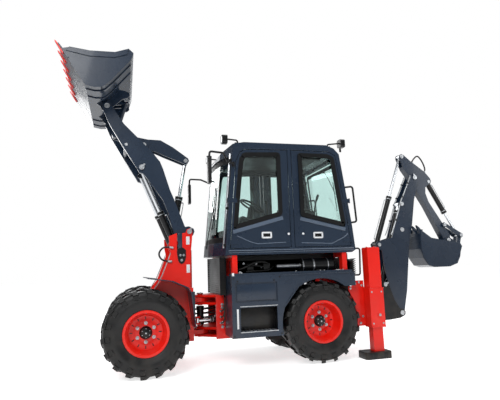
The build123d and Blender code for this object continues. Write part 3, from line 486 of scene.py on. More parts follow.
def hose(name, body, points, radius, finishName="hoseRubber", replaced=()):
    line = bpy.data.curves.new(name, "CURVE")
    line.dimensions = "3D"
    line.bevel_depth = radius
    line.bevel_resolution = 5
    line.resolution_u = 8
    line.use_fill_caps = True
    strand = line.splines.new("NURBS")
    strand.points.add(len(points) - 1)
    for point, target in zip(strand.points, points):
        point.co = (*target, 1)
    strand.use_endpoint_u = True
    strand.order_u = 3
    dress(show(name, line), finishName, body, replaced)


def hosePair(name, body, points, radius, finishName="hoseRubber"):
    for word, side in sides:
        hose(name.replace("*", word.title()), body, [spot(x, side * y, z) for x, y, z in points], radius, finishName)


# wheels

wheel = {"radius": 0.5375, "width": 0.41, "bead": 0.255, "lugs": 18, "lugHeight": 0.025, "sweep": 0.085,
         "steps": 108, "trackHalf": 0.644, "base": 2.336, "nuts": 6, "nutCircle": 0.116, "slotShade": 12,
         "slotCircle": 0.178}
halfTyre = wheel["width"] / 2
halfRim = halfTyre - 0.046
rimFace = halfRim - 0.150
treadRadius = wheel["radius"] - wheel["lugHeight"]
outward = about("X", -math.pi / 2)    # turns +Z to the left of the machine


def tyreShell():
    bead = wheel["bead"]
    side = [(bead, -0.046), (bead + 0.012, -0.040), (bead + 0.034, -0.036), (bead + 0.052, -0.022),
            (bead + 0.058, -0.021), (bead + 0.080, -0.009), (bead + 0.105, -0.003), (bead + 0.110, -0.001),
            (bead + 0.150, -0.0005), (bead + 0.155, -0.003), (treadRadius - 0.062, -0.005),
            (treadRadius - 0.040, -0.011), (treadRadius - 0.020, -0.022), (treadRadius - 0.006, -0.040),
            (treadRadius, -0.080), (treadRadius + 0.001, 0.06 - halfTyre)]
    side = [(radius, halfTyre + inside) for radius, inside in side]
    return lathe(side + [(radius, -height) for radius, height in reversed(side)], wheel["steps"])


def lugShape(side):
    # one bar: a strip from near the middle to past the shoulder, raised, narrowed on top and wrapped round
    shape = bmesh.new()
    bmesh.ops.create_grid(shape, x_segments=1, y_segments=8, size=0.5)
    pull(shape, (0, 0, 1))
    for vert in shape.verts:
        along = vert.co.y + 0.5
        across = vert.co.x * 2
        high = vert.co.z
        out = 0.008 + along * (halfTyre - 0.006)
        wide = (0.023 + 0.012 * along) * (1 - 0.16 * high)
        turn = wheel["sweep"] * (along ** 0.8 - 0.45) + across * wide
        shoulder = max(0.0, along - 0.84) / 0.16
        low = treadRadius - 0.012 - 0.075 * shoulder ** 1.6
        top = treadRadius + wheel["lugHeight"] - 0.0018 - 0.052 * shoulder ** 2.2
        radius = top if high else low
        out = min(out, halfTyre - 0.0004) - (0.014 * (1 - shoulder) if high and along > 0.97 else 0)
        turned = -turn / treadRadius
        vert.co = Vector((radius * math.sin(turned), side * out, radius * math.cos(turned)))
    if side < 0:
        bmesh.ops.reverse_faces(shape, faces=shape.faces)
    return soften(shape, 0.0035, 1, 50)


def makeTyre():
    kit = bmesh.new()
    add(kit, tyreShell(), outward)
    for side in bothSides:
        first = 0.5 if side < 0 else 0    # the right row is half a pitch behind
        turns = [about("Y", math.tau / wheel["lugs"] * (n + first)) for n in range(wheel["lugs"])]
        copyInto(kit, lugShape(side), turns)
    return kit


def makeRim():
    left, face = halfRim, rimFace
    well = [(0.254, -left - 0.004), (0.281, -left - 0.006), (0.2835, -left - 0.012), (0.281, -left - 0.018),
            (0.250, -left - 0.013), (0.240, -left + 0.02), (0.240, -0.03), (0.228, -0.012), (0.226, face - 0.02),
            (0.150, face - 0.014), (0.120, face - 0.002), (0.072, face - 0.002), (0.072, face + 0.013),
            (0.112, face + 0.014), (0.132, face + 0.008), (0.150, face + 0.002), (0.196, face + 0.0),
            (0.208, face + 0.004), (0.2145, face + 0.014), (0.222, face + 0.05), (0.236, left - 0.05),
            (0.240, left - 0.02), (0.246, left + 0.006), (0.252, left + 0.0145), (0.274, left + 0.018),
            (0.281, left + 0.0165), (0.2835, left + 0.011), (0.281, left + 0.006), (0.254, left + 0.004),
            (0.2535, left - 0.02), (0.2535, -left + 0.02)]
    cap = [(0, 0.086), (0.030, 0.086), (0.041, 0.083), (0.046, 0.075), (0.058, 0.073), (0.0635, 0.068),
           (0.066, 0.036),
           (0.074, 0.030), (0.078, 0.024), (0.080, 0.0145), (0.072, 0.0145), (0.072, -0.002), (0, -0.002)]
    rim = shift(lathe(well, wheel["steps"]), outward)
    hub = shift(lathe([(radius, face + height) for radius, height in cap], 48), outward)
    nuts = bmesh.new()
    for index in range(wheel["nuts"]):
        angle = math.tau / wheel["nuts"] * (index + 0.5)
        ahead, up = math.cos(angle), math.sin(angle)
        base = move(wheel["nutCircle"] * ahead, face + 0.0135, wheel["nutCircle"] * up) @ outward
        add(nuts, bolt(0.0165, 0.016), base)
        add(nuts, disc(0.0085, 0.027, 0.0015, 16), base)
        add(nuts, bolt(0.0058, 0.004, False), move(0.052 * ahead, face + 0.072, 0.052 * up) @ outward)
    add(nuts, disc(0.011, 0.006, 0.001, 6), move(0, face + 0.083, 0) @ outward)
    add(nuts, disc(0.0042, 0.034, 0.001, 12), move(0, left - 0.030, 0.232) @ outward @ about("X", math.radians(24)))
    return rim, hub, nuts


def makeDish():
    # a ring of black patches on the dish, painted shade standing for the dark openings of its slots, and a bead of
    # weld where the disc meets the rim
    slotShade = bmesh.new()
    turns = [about("Z", math.tau / wheel["slotShade"] * index) for index in range(wheel["slotShade"])]
    home = move(wheel["slotCircle"], 0, rimFace + 0.0012)
    copyInto(slotShade, block((0.034, 0.012, 0.003), 0.0012), [turn @ home for turn in turns])
    bead = [(0.2095, 0.002), (0.2135, 0.0085), (0.2165, 0.016), (0.2195, 0.016), (0.2195, 0.002)]
    return slotShade, lathe([(radius, rimFace + height) for radius, height in bead])


def dressWheels():
    tyre = makeTyre()
    rim, hub, nuts = makeRim()
    slotShade, weld = makeDish()
    for end, x in (("front", 0), ("rear", -wheel["base"])):
        for word, side in sides:
            corner = end + "_" + word
            middle = at(x, side * wheel["trackHalf"], axleZ)
            turned = middle @ about("Z", math.pi) if side < 0 else middle
            facing = middle @ aim((0, side, 0))
            # the black slot patches on each dish are painted shade for its openings
            for shape, home, name, finishName, node in ((tyre, turned, "tyreTread_", "tyreRubber", "tyre_"),
                                                        (rim, turned, "wheelRim_", "redPaint", "rim_"),
                                                        (hub, turned, "hubCap_", "blackPaint", None),
                                                        (nuts, turned, "wheelNuts_", "zincSteel", None),
                                                        (slotShade, facing, "rimSlotShade_", "blackPaint", None),
                                                        (weld, facing, "rimWeld_", "redPaint", None)):
                place(shift(shape.copy(), home), name + corner, finishName, "wheel_" + corner,
                      (node + corner,) if node else ())
    for shape in (tyre, rim, hub, nuts, slotShade, weld):
        shape.free()


dressWheels()
print("wheels dressed")

# pins, covers and bolts

# each pin: body, x, z, distance from the middle, radius, turn of its keeper plate or None
pinEnds = {
    "armPivot": ("front_frame", -0.597, 1.812, 0.4131, 0.034, 150),
    "liftEye": ("loader_arm", 0.038, 2.704, 0.3871, 0.036, 140),
    "armTip": ("loader_bucket", 0.500, 3.555, 0.3871, 0.036, None),
    "crossBar": ("loader_arm", 0.245, 3.020, 0.3751, 0.020, None),
    "rockerPivot": ("rocker", 0.0, 3.090, 0.1181, 0.036, None),
    "bucketLink": ("loader_bucket", 0.250, 3.762, 0.0881, 0.032, 60),
    "rockerTail": ("rocker", -0.603, 2.884, 0.0781, 0.030, None),
    "boomFoot": ("swing_post", -3.995, 0.507, 0.1181, 0.038, None),
    "boomBase": ("swing_post", -3.730, 0.960, 0.1181, 0.034, 120),
    "boomEye": ("boom", -4.152, 2.250, 0.1021, 0.034, None),
    "dipperBase": ("boom", -3.685, 1.588, 0.0961, 0.030, None),
    "dipperPivot": ("boom", -4.447, 2.701, 0.0981, 0.038, 200),
    "dipperTail": ("dipper", -4.250, 3.062, 0.0601, 0.032, None),
    "curlBase": ("dipper", -4.735, 2.640, 0.0601, 0.028, None),
    "rockerRoot": ("dipper", -4.955, 1.900, 0.0861, 0.030, None),
    "rockerEnd": ("hoe_rocker", -5.256, 1.721, 0.0921, 0.028, None),
    "linkEnd": ("hoe_bucket", -5.195, 1.505, 0.0941, 0.030, None),
    "hoeHinge": ("hoe_bucket", -5.000, 1.640, 0.0941, 0.034, None),
}


def pinCover(radius, proud=0.010):
    # a domed washer with a grease nipple, standing on z = 0
    profile = [(0, proud), (radius * 0.30, proud), (radius * 0.34, proud * 0.7), (radius * 0.72, proud * 0.7),
               (radius * 0.80, proud), (radius * 0.94, proud), (radius, proud * 0.7), (radius, 0), (0, 0)]
    shape = lathe(profile, 40)
    add(shape, disc(0.004, 0.007, 0.001, 6), move(0, 0, proud * 0.9))
    return shape


def keeperPlate(radius):
    # a flat tab that stops the pin from turning, with its bolt
    reach = radius + 0.026
    outline = [(-0.013, radius * 0.5), (0.013, radius * 0.5), (0.013, reach - 0.008), (0.008, reach),
               (-0.008, reach),
               (-0.013, reach - 0.008)]
    shape = shift(slab(outline, 0.006, 0.0012), move(0, 0, 0.006) @ about("X", math.pi / 2))
    add(shape, bolt(0.0075, 0.006), move(0, -(reach - 0.013), 0.006))
    return shape


def dressPins():
    kits = {}
    for body, x, z, reach, radius, keeper in pinEnds.values():
        kit = kits.setdefault(body, bmesh.new())
        for side in bothSides:
            home = at(x, side * reach, z) @ aim((0, side, 0))
            add(kit, pinCover(radius), home)
            if keeper is not None:
                add(kit, keeperPlate(radius), home @ about("Z", math.radians(keeper)))
    for body, kit in kits.items():
        place(kit, "pinEnds_" + body, "zincSteel", body)


def dressFrames():
    yoke = bmesh.new()
    boltPairs(yoke, faces["yoke"], 0.015, 0.012, [(-1.046, z) for z in (0.505, 0.562, 0.761, 0.804)])
    place(yoke, "yokeBolts", "zincSteel")
    covers = bmesh.new()
    outline = [(-0.487, 1.375), (-0.460, 1.388), (-0.440, 1.420), (-0.432, 1.470), (-0.425, 1.535), (-0.430, 1.575),
               (-0.500, 1.600), (-0.545, 1.560), (-0.548, 1.470), (-0.532, 1.412), (-0.512, 1.385)]
    mirrorPair(covers, slab(outline, 0.008, 0.0015), faces["tower"])
    place(covers, "towerCovers", "blackPaint", "front_frame")
    tower = bmesh.new()
    boltPairs(tower, 0.4131, 0.011, 0.0088, [(-0.470, 1.492), (-0.515, 1.492)])
    boltPairs(tower, 0.4131, 0.013, 0.0104, [(-0.487, 1.425)])
    place(tower, "towerBolts", "zincSteel", "front_frame")
    caps = bmesh.new()
    for z in (0.9481, 0.5101):
        home = at(axes["steering"], 0, z)
        add(caps, pinCover(0.048, 0.012), home)
        for turn in range(3):
            angle = math.tau / 3 * turn
            add(caps, bolt(0.007, 0.006), home @ move(0.030 * math.cos(angle), 0.030 * math.sin(angle), 0.008))
    place(caps, "steerPinCaps", "zincSteel")
    caps = bmesh.new()
    copyInto(caps, pinCover(0.052, 0.012), [at(axes["swing"], 0, z) for z in (0.5651, 0.9551)])
    place(caps, "swingPinCaps", "zincSteel", "hoe_carriage")


dressPins()
dressFrames()
print("pins and bolts done")

# cylinders: glands, ports and steel lines

cylinders = {
    "lift": {"base": (-0.486, 1.461), "eye": (0.038, 2.704), "length": 0.700, "radius": 0.042,
             "lanes": (0.230, -0.230), "body": "lift_barrels", "side": (-0.921, 0.388)},
    "tilt": {"base": (-0.385, 1.655), "eye": (-0.603, 2.884), "length": 0.708, "radius": 0.048, "lanes": (0.0,),
             "body": "tilt_barrel", "side": (-0.985, -0.175)},
    "boom": {"base": (-3.730, 0.960), "eye": (-4.152, 2.250), "length": 1.247, "radius": 0.041, "lanes": (0.0,),
             "body": "boom_barrel", "side": (-0.951, -0.311)},
    "dipper": {"base": (-3.685, 1.588), "eye": (-4.250, 3.062), "length": 0.850, "radius": 0.039, "lanes": (0.0,),
               "body": "dipper_barrel", "side": (0.93, 0.36)},
    "curl": {"base": (-4.735, 2.640), "eye": (-5.256, 1.721), "length": 0.610, "radius": 0.040, "lanes": (0.0,),
             "body": "hoe_barrel", "side": (-0.87, 0.49)},
}


def dressCylinder(name, look):
    base, eye, side, body = look["base"], look["eye"], look["side"], look["body"]
    radius, length = look["radius"], look["length"]
    reach = math.dist(base, eye)

    def along(distance, lane, lift=0.0):
        x = base[0] + (eye[0] - base[0]) * distance / reach + side[0] * lift
        z = base[1] + (eye[1] - base[1]) * distance / reach + side[1] * lift
        return spot(x, lane, z)

    bright = bmesh.new()
    turn = aim((eye[0] - base[0], 0, eye[1] - base[1]))
    for lane in look["lanes"]:
        for distance, width in ((length - 0.050, 0.010), (length - 0.002, 0.006)):
            add(bright, sleeve(radius + 0.001, radius + 0.0072, width), move(*along(distance, lane)) @ turn)
        for distance in (0.085, length - 0.075):
            home = move(*along(distance, lane, radius - 0.002)) @ aim((side[0], 0, side[1]))
            add(bright, disc(0.013, 0.016, 0.0015, 24), home)
            add(bright, disc(0.011, 0.026, 0.0015, 6), home)
    place(bright, name + "Fittings", "zincSteel", body)
    lift = radius + 0.026
    steps = [(0.085, radius + 0.016), (0.085, lift), (0.105, lift + 0.003), (length * 0.5, lift),
             (length - 0.10, lift + 0.003), (length - 0.075, lift), (length - 0.075, radius + 0.016)]
    for index, lane in enumerate(look["lanes"]):
        hose(name + "Line" + str(index), body, [along(distance, lane, high) for distance, high in steps], 0.006,
             "zincSteel")


for cylinderName, cylinderLook in cylinders.items():
    dressCylinder(cylinderName, cylinderLook)
print("cylinders done")

# steel lines and hoses

def clamp(size, edge, lift):
    # a saddle with its bolt on top
    shape = block(size, edge)
    add(shape, bolt(0.006, 0.005), move(0, 0, lift))
    return shape


def dressBoom():
    # two steel lines follow the front edge of each of the boom's plates, held by clamps
    edge = [(-3.931, 1.740), (-3.979, 1.828), (-4.100, 2.127), (-4.150, 2.280), (-4.240, 2.440), (-4.350, 2.660),
            (-4.378, 2.725)]
    for index, y in enumerate((0.0835, 0.0965)):
        hosePair("boomLine*" + str(index), "boom", [(x + 0.012, y, z + 0.005) for x, z in edge], 0.0062, "zincSteel")
    clamps = bmesh.new()
    disks = bmesh.new()
    for side in bothSides:
        for x, z, turn in ((-4.040, 1.978, 68), (-4.196, 2.361, 61), (-4.318, 2.596, 63)):
            home = at(x + 0.012, side * 0.0905, z + 0.005) @ about("Y", math.radians(-turn))
            add(clamps, clamp((0.030, 0.026, 0.022), 0.003, 0.011), home)
        home = at(-4.132, side * 0.0881, 1.827) @ aim((0, side, 0))
        add(disks, disc(0.036, 0.006, 0.0015, 32), home)
        copyInto(disks, bolt(0.010, 0.008), [home @ move(0, step, 0.006) for step in (-0.017, 0.017)])
    place(clamps, "boomClamps", "blackPaint", "boom")
    place(disks, "boomDisc", "zincSteel", "boom")


# the two loops have the same points as their solids
heldHoses = {
    "towerHose": {"body": "front_frame", "y": 0.4173, "node": "tower_hose", "points": [
        (-0.372, 1.592), (-0.262, 1.622), (-0.186, 1.548), (-0.186, 1.478), (-0.246, 1.418), (-0.352, 1.410)]},
    "dipperHose": {"body": "dipper", "y": 0.030, "node": "dipper_hose", "points": [
        (-4.4502, 2.9648), (-4.552, 3.118), (-4.652, 3.030), (-4.726, 2.841), (-4.6803, 2.7993)]},
}

dressBoom()
for name, look in heldHoses.items():
    hose(name, look["body"], [spot(x, look["y"], z) for x, z in look["points"]], 0.012, replaced=(look["node"],))
print("lines and hoses done")

# cab: window seals, door trim, handles

doorLook = {
    "front": {"glass": [(-1.142, 1.800), (-1.207, 2.400), (-1.254, 2.784), (-1.304, 2.872), (-1.852, 2.890),
                        (-1.852, 1.996)],
              "seal": 0.062, "handle": (-1.608, 1.725), "latch": -1.925, "ledge": [(-1.140, 1.772), (-1.852, 1.960)],
              "crease": [(-1.190, 1.722), (-1.369, 1.640), (-1.468, 1.609), (-1.880, 1.622)]},
    "rear": {"glass": [(-2.110, 1.983), (-2.110, 2.884), (-2.572, 2.880), (-2.662, 2.838), (-2.782, 1.900),
                       (-2.794, 1.826)],
             "seal": 0.058, "handle": (-2.363, 1.714), "latch": -2.139, "ledge": [(-2.108, 1.950), (-2.790, 1.792)],
             "crease": [(-2.110, 1.612), (-2.569, 1.593), (-2.761, 1.680), (-2.827, 1.730)]},
}


def dressDoor(name, word, side):
    look = doorLook[name]
    body = name + "_door_" + word
    seal = ring(look["glass"], look["seal"], 0.021, 0.060, 0.003)
    place(onSide(seal, side, faces["seal"]), "windowSeal_" + body, "blackPlastic", body)
    trim = bmesh.new()
    # the ledge and crease strips take the lighter slate, a painted highlight on their lit bevels
    for line, wide, thick, edge in ((look["ledge"], 0.050, 0.007, 0.004), (look["crease"], 0.012, 0.005, 0.0024)):
        add(trim, onSide(strip(line, wide, thick, edge), side, faces["door"]))
    place(trim, "doorTrim_" + body, "slatePaintedHighlight", body)
    x, z = look["handle"]
    wide, high = 0.072, 0.044
    outline = [(x - wide, z - high), (x + wide, z - high), (x + wide, z + high), (x - wide, z + high)]
    bezel = onSide(ring(outline, 0.021, 0.010, 0.016), side, faces["door"])
    add(bezel, disc(0.016, 0.008, 0.002, 28), at(look["latch"], side * 0.7198, 1.737) @ aim((0, side, 0)))
    place(bezel, "handleBezel_" + body, "paleStrip", body)
    paddle = shift(block((0.104, 0.004, 0.050), 0.0015), at(x, side * 0.7212, z))
    add(paddle, block((0.062, 0.008, 0.020), 0.003), at(x - 0.004, side * 0.7245, z + 0.004))
    place(paddle, "handlePull_" + body, "blackPlastic", body)


for doorName in doorLook:
    for word, side in sides:
        dressDoor(doorName, word, side)
print("doors done")

# cab: ledges, windshield border, wipers, rails, lamps, mirrors, lining

cab = {"sill": 1.545, "rake": 0.096, "rearRake": 0.1008, "rearLean": math.atan2(0.126, 1.25)}


def raked(outline, low, high):
    # an outline of (x, y) pairs at the sill, leaning back with the windshield
    shape = bmesh.new()
    back = (low - cab["sill"]) * cab["rake"]
    shape.faces.new([shape.verts.new((x + axleX - back, y, low)) for x, y in outline])
    return soften(pull(shape, ((low - high) * cab["rake"], 0, high - low)), 0.0015, 1)


def dressScreens():
    border = bmesh.new()
    front = [(-1.0595, 0.653), (-0.9455, 0.380), (-0.9155, 0.160), (-0.9155, -0.160), (-0.9455, -0.380),
             (-1.0595, -0.653)]
    band = [(x + 0.003, y) for x, y in front] + [(x - 0.003, y) for x, y in reversed(front)]
    for low, high in ((1.6415, 1.715), (2.745, 2.8285)):
        add(border, raked(band, low, high))
    for side in bothSides:
        post = [(-1.0565, 0.653), (-1.0190, 0.563), (-1.0250, 0.563), (-1.0625, 0.653)]
        add(border, raked([(x, side * y) for x, y in post], 1.7152, 2.7448))
    rear = ring([(-0.627, 1.703), (-0.627, 2.817), (0.627, 2.817), (0.627, 1.703)], 0.055, 0.006, 0.05, 0.0015)
    lean = about("Y", cab["rearLean"]) @ about("Z", math.pi / 2)
    add(border, rear, at(-2.9062, 0, 1.703) @ lean @ move(0, 0, -1.703))
    place(border, "screenSeals", "blackPlastic")

    wipers = bmesh.new()
    add(wipers, disc(0.024, 0.030, 0.004, 24), at(-0.924, 0.020, 1.600) @ aim((1, 0, 0)))
    add(wipers, disc(0.020, 0.022, 0.003, 24), at(-2.818, 0.020, 2.770) @ aim((-1, 0, 0)))
    for long, x, y, z, angle in ((0.60, -0.9770, 0.255, 2.150, -math.atan(cab["rake"])),
                                 (0.45, -2.865, 0.300, 2.330, math.atan(cab["rearRake"]))):
        add(wipers, block((0.010, 0.014, long)), at(x, y, z) @ about("Y", angle))
    place(wipers, "wiperBlades", "blackPlastic")
    arms = {"frontWiperArm": [(-0.900, 0.020, 1.600), (-0.905, 0.060, 1.720), (-0.960, 0.235, 2.080),
                              (-0.972, 0.255, 2.160)],
            "rearWiperArm": [(-2.838, 0.020, 2.770), (-2.850, 0.090, 2.690), (-2.869, 0.270, 2.420),
                             (-2.872, 0.300, 2.360)]}
    for name, points in arms.items():
        hose(name, "rear_frame", [spot(*point) for point in points], 0.006, "blackPaint")


def dressCab():
    sills = bmesh.new()
    # the sill strips take the lighter slate, a painted highlight along their lit edges
    for z, high, out in ((1.524, 0.012, 0.010), (1.497, 0.008, 0.007)):
        addPair(sills, block((1.83, out, high), 0.003), -1.985, 0.7185 + out / 2, z)
    place(sills, "cabSills", "slatePaintedHighlight")
    line = [(-1.003, 1.560), (-1.016, 1.700), (-1.066, 2.205), (-1.118, 2.740), (-1.129, 2.850)]
    hosePair("frontRail*", "rear_frame", [(x, 0.708, z) for x, z in line], 0.0125, "chromedRod")
    brackets = bmesh.new()
    for x, z in ((-1.022, 1.600), (-1.065, 2.095), (-1.130, 2.760)):
        addPair(brackets, block((0.040, 0.030, 0.034), 0.004), x, 0.708, z)
    place(brackets, "railBrackets", "blackPlastic")


def oblong(wide, high):
    return [(-wide, -high), (wide, -high), (wide, high), (-wide, high)]


def dressLamps():
    rims = bmesh.new()
    lenses = bmesh.new()
    inner = bmesh.new()
    for x, z, way in ((-1.042, 3.075, 1), (-2.895, 3.080, -1)):
        turn = about("Z", -way * math.pi / 2)
        addPair(rims, ring(oblong(0.054, 0.058), 0.009, 0.007, 0.020, 0.0015), x, 0.610, z, turn)
        lens = slab(oblong(0.046, 0.050), 0.004, 0)
        bmesh.ops.subdivide_edges(lens, edges=lens.edges[:], cuts=1)
        addPair(inner, lens, x, 0.610, z, turn)
        for row in range(5):
            rib = block((0.086, 0.003, 0.010), 0.001)
            addPair(lenses, rib, x, 0.610, z, turn @ move(0, 0.0048, -0.036 + 0.018 * row))
    place(rims, "lampRims", "blackPlastic")
    place(inner, "lampReflectors", "mirrorFace")
    place(lenses, "lampLenses", "paleStrip")
    mirrors = bmesh.new()
    face = [(-0.050, 2.400), (0.050, 2.400), (0.050, 2.695), (-0.050, 2.695)]
    addPair(mirrors, slab(face, 0.002, 0), -0.8133, 0.960, 0, about("Z", math.pi / 2))
    place(mirrors, "mirrorFaces", "mirrorFace")
    hooks = bmesh.new()
    addPair(hooks, block((0.030, 0.016, 0.060), 0.005), -2.846, 0.600, 2.985)
    place(hooks, "lampHooks", "blackPlastic")


def dressInside():
    lining = bmesh.new()
    add(lining, block((1.16, 1.20, 0.050), 0.020, 3), at(-1.980, 0, 2.900))
    addPair(lining, block((1.10, 0.050, 0.090), 0.020, 3), -1.960, 0.610, 2.860)
    add(lining, block((0.14, 0.90, 0.020), 0.006), at(-1.330, 0, 2.835))
    place(lining, "roofLining", "blackPlastic")
    dash = bmesh.new()
    add(dash, block((0.16, 0.56, 0.14), 0.040, 4), at(-1.430, 0, 1.960) @ about("Y", -0.35))
    add(dash, block((0.10, 0.30, 0.32), 0.030, 3), at(-1.420, 0, 1.760))
    addPair(dash, block((0.48, 0.150, 0.034), 0.014, 3), -2.130, 0.425, 2.096)
    addPair(dash, block((0.11, 0.075, 0.016), 0.005), -1.380, 0.150, 1.560, about("Y", -0.6))
    knob = [(0, 0), (0.010, 0), (0.010, 0.020), (0.013, 0.026), (0.013, 0.044), (0.009, 0.050), (0, 0.050)]
    for step in range(3):
        addPair(dash, lathe(knob, 20), -2.100 - 0.055 * step, 0.425, 2.112)
    place(dash, "cabTrim", "blackPlastic")
    lever = [(-2.520, 0.300, 1.560), (-2.520, 0.300, 1.900), (-2.500, 0.290, 2.120), (-2.560, 0.280, 2.280)]
    hosePair("hoeLever*", "rear_frame", lever, 0.011, "blackPaint")
    for word, side in sides:
        grip = lathe([(0, 0), (0.014, 0), (0.018, 0.030), (0.020, 0.080), (0.014, 0.105), (0, 0.110)], 24)
        shift(grip, at(-2.553, side * 0.281, 2.262) @ aim((-0.35, 0, 0.93)))
        place(grip, "leverGrip" + word.title(), "blackPlastic")


dressScreens()
dressCab()
dressLamps()
dressInside()
print("cab done")

# the seat, sewn and filled

seatLook = {"pressure": 4.0, "voxel": 0.012, "cap": 0.016, "frames": 20, "piping": 0.0042, "proud": 0.006,
            "base": {"size": (0.440, 0.460, 0.085), "place": (-2.085, 0, 1.966), "tilt": 0.04},
            "back": {"size": (0.085, 0.440, 0.520), "place": (-2.328, 0, 2.330), "tilt": -0.235}}


def settle(piece):
    graph = bpy.context.evaluated_depsgraph_get()
    done = bpy.data.meshes.new_from_object(piece.evaluated_get(graph), depsgraph=graph)
    piece.modifiers.clear()
    piece.data = done


def fillPad(piece):
    # air pressure swells the pad, and no point moves further than the cap
    rest = [v.co.copy() for v in piece.data.vertices]
    cloth = piece.modifiers.new("cloth", "CLOTH")
    cloth.settings.use_pressure = True
    cloth.settings.uniform_pressure_force = seatLook["pressure"]
    cloth.settings.effector_weights.gravity = 0
    for step in range(1, seatLook["frames"] + 1):
        bpy.context.scene.frame_set(step)
    settle(piece)
    bpy.context.scene.frame_set(1)
    for vert, home in zip(piece.data.vertices, rest):
        swell = vert.co - home
        if swell.length > seatLook["cap"]:
            vert.co = home + swell.normalized() * seatLook["cap"]


def makePad(name, look):
    piece = show(name, toMesh(name, block(look["size"], 0.028, 4)))
    grid = piece.modifiers.new("grid", "REMESH")
    grid.mode = "VOXEL"
    grid.voxel_size = seatLook["voxel"]
    settle(piece)
    fillPad(piece)
    home = at(*look["place"]) @ about("Y", look["tilt"])
    piece.data.transform(home)
    for face in piece.data.polygons:
        face.use_smooth = True
    finer = piece.modifiers.new("finer", "SUBSURF")
    finer.levels = 1
    finer.render_levels = 1
    dress(piece, "seatVinyl", "rear_frame", ("seat",))
    return home


def makeSeat():
    around = [(-1, 0), (-1, 0.9), (-0.9, 1), (0.9, 1), (1, 0.9), (1, -0.9), (0.9, -1), (-0.9, -1), (-1, -0.9),
              (-1, -0.01)]
    for word, name in (("base", "seatCushion"), ("back", "seatBack")):
        look = seatLook[word]
        home = makePad(name, look)
        deep, wide, tall = (size / 2 + seatLook["proud"] for size in look["size"])
        line = [(x * deep, y * wide, 0) if word == "base" else (0, y * wide, x * tall) for x, y in around]
        hose("seatPiping" if word == "base" else "backPiping", "rear_frame",
             [home @ Vector(point) for point in line],
             seatLook["piping"], "seatVinyl")
    stand = bmesh.new()
    for level in range(6):
        size = 0.30 - 0.020 * (level % 2)
        add(stand, block((size, size, 0.046), 0.016, 3), at(-2.095, 0, 1.610 + 0.044 * level))
    add(stand, block((0.34, 0.34, 0.034), 0.006), at(-2.095, 0, 1.544))
    add(stand, block((0.42, 0.42, 0.040), 0.012, 3), at(-2.090, 0, 1.885))
    tilt = about("Y", seatLook["back"]["tilt"])
    add(stand, block((0.020, 0.420, 0.500), 0.009, 3), at(-2.384, 0, 2.326) @ tilt)
    addPair(stand, block((0.200, 0.024, 0.040), 0.008), -2.200, 0.236, 1.930)
    place(stand, "seatStand", "blackPlastic")


makeSeat()
print("seat done")

# engine bay, side panels, stabilisers, joint and buckets

upward = aim((0, 0, 1))
engineHoses = {
    "Coolant": ([(-1.240, 0.50, 1.270), (-1.330, 0.53, 1.285), (-1.480, 0.53, 1.372), (-1.640, 0.52, 1.368),
                 (-1.700, 0.47, 1.330)], 0.017),
    "Fuel": ([(-1.360, 0.50, 1.240), (-1.520, 0.55, 1.244), (-1.700, 0.54, 1.250), (-1.760, 0.48, 1.300)], 0.009),
    "Oil": ([(-1.680, 0.47, 1.290), (-1.560, 0.52, 1.310), (-1.420, 0.52, 1.325), (-1.340, 0.47, 1.300)], 0.011),
}


def dressEngine():
    backing = bmesh.new()
    for long, thick, high, x, y, z in ((1.500, 0.010, 0.238, -1.955, 0.440, 1.3425),
                                       (0.160, 0.010, 0.238, -2.855, 0.440, 1.3425),
                                       (1.640, 0.010, 0.172, -1.960, 0.440, 1.3090),
                                       (0.270, 0.008, 0.420, -2.855, 0.350, 0.9750),
                                       (0.110, 0.010, 0.250, -2.905, 0.500, 1.2450)):
        addPair(backing, block((long, thick, high), 0.003), x, y, z)
    for x in (-1.42, -1.66, -2.66):
        addPair(backing, block((0.10, 0.060, 0.110), 0.012, 3), x, 0.475, 1.300)
    for level in range(8):
        addPair(backing, block((0.105, 0.150, 0.007)), -2.905, 0.580, 1.145 + 0.029 * level, about("Y", 0.5))
    place(backing, "engineBacking", "blackPaint")

    bright = bmesh.new()
    y, z = 0.560, 1.302    # the air filter's middle line
    turn = aim((-1, 0, 0))
    for x, radius, high in ((-2.300, 0.0950, 0.022), (-2.520, 0.0945, 0.012), (-2.145, 0.1005, 0.010)):
        add(bright, sleeve(radius - 0.006, radius, high, 56), at(x, y, z) @ turn)
    pipe = [(0.0272, 0), (0.0272, 0.338), (0.0310, 0.340), (0.0310, 0.352), (0.0255, 0.352), (0.0255, 0)]
    add(bright, lathe(pipe, 40), at(-1.782, y, 1.300) @ turn)
    boltPairs(bright, 0.446, 0.012, 0.012, [(-1.21, 1.335), (-1.34, 1.352), (-1.40, 1.305), (-1.52, 1.345),
                                            (-1.60, 1.300), (-2.70, 1.330)])
    for x in (-1.215, -2.000, -2.360, -2.420, -2.700):
        addPair(bright, bolt(0.009, 0.008), x, 0.735, 1.2225, upward)
    mount = lathe([(0, 0.022), (0.014, 0.022), (0.016, 0.014), (0.034, 0.013), (0.036, 0), (0, 0)], 32)
    addPair(bright, mount, -1.236, 0.650, 1.2225)
    place(bright, "engineBright", "zincSteel")
    for kind, (points, radius) in engineHoses.items():
        hosePair("engine" + kind + "*", "rear_frame", points, radius)


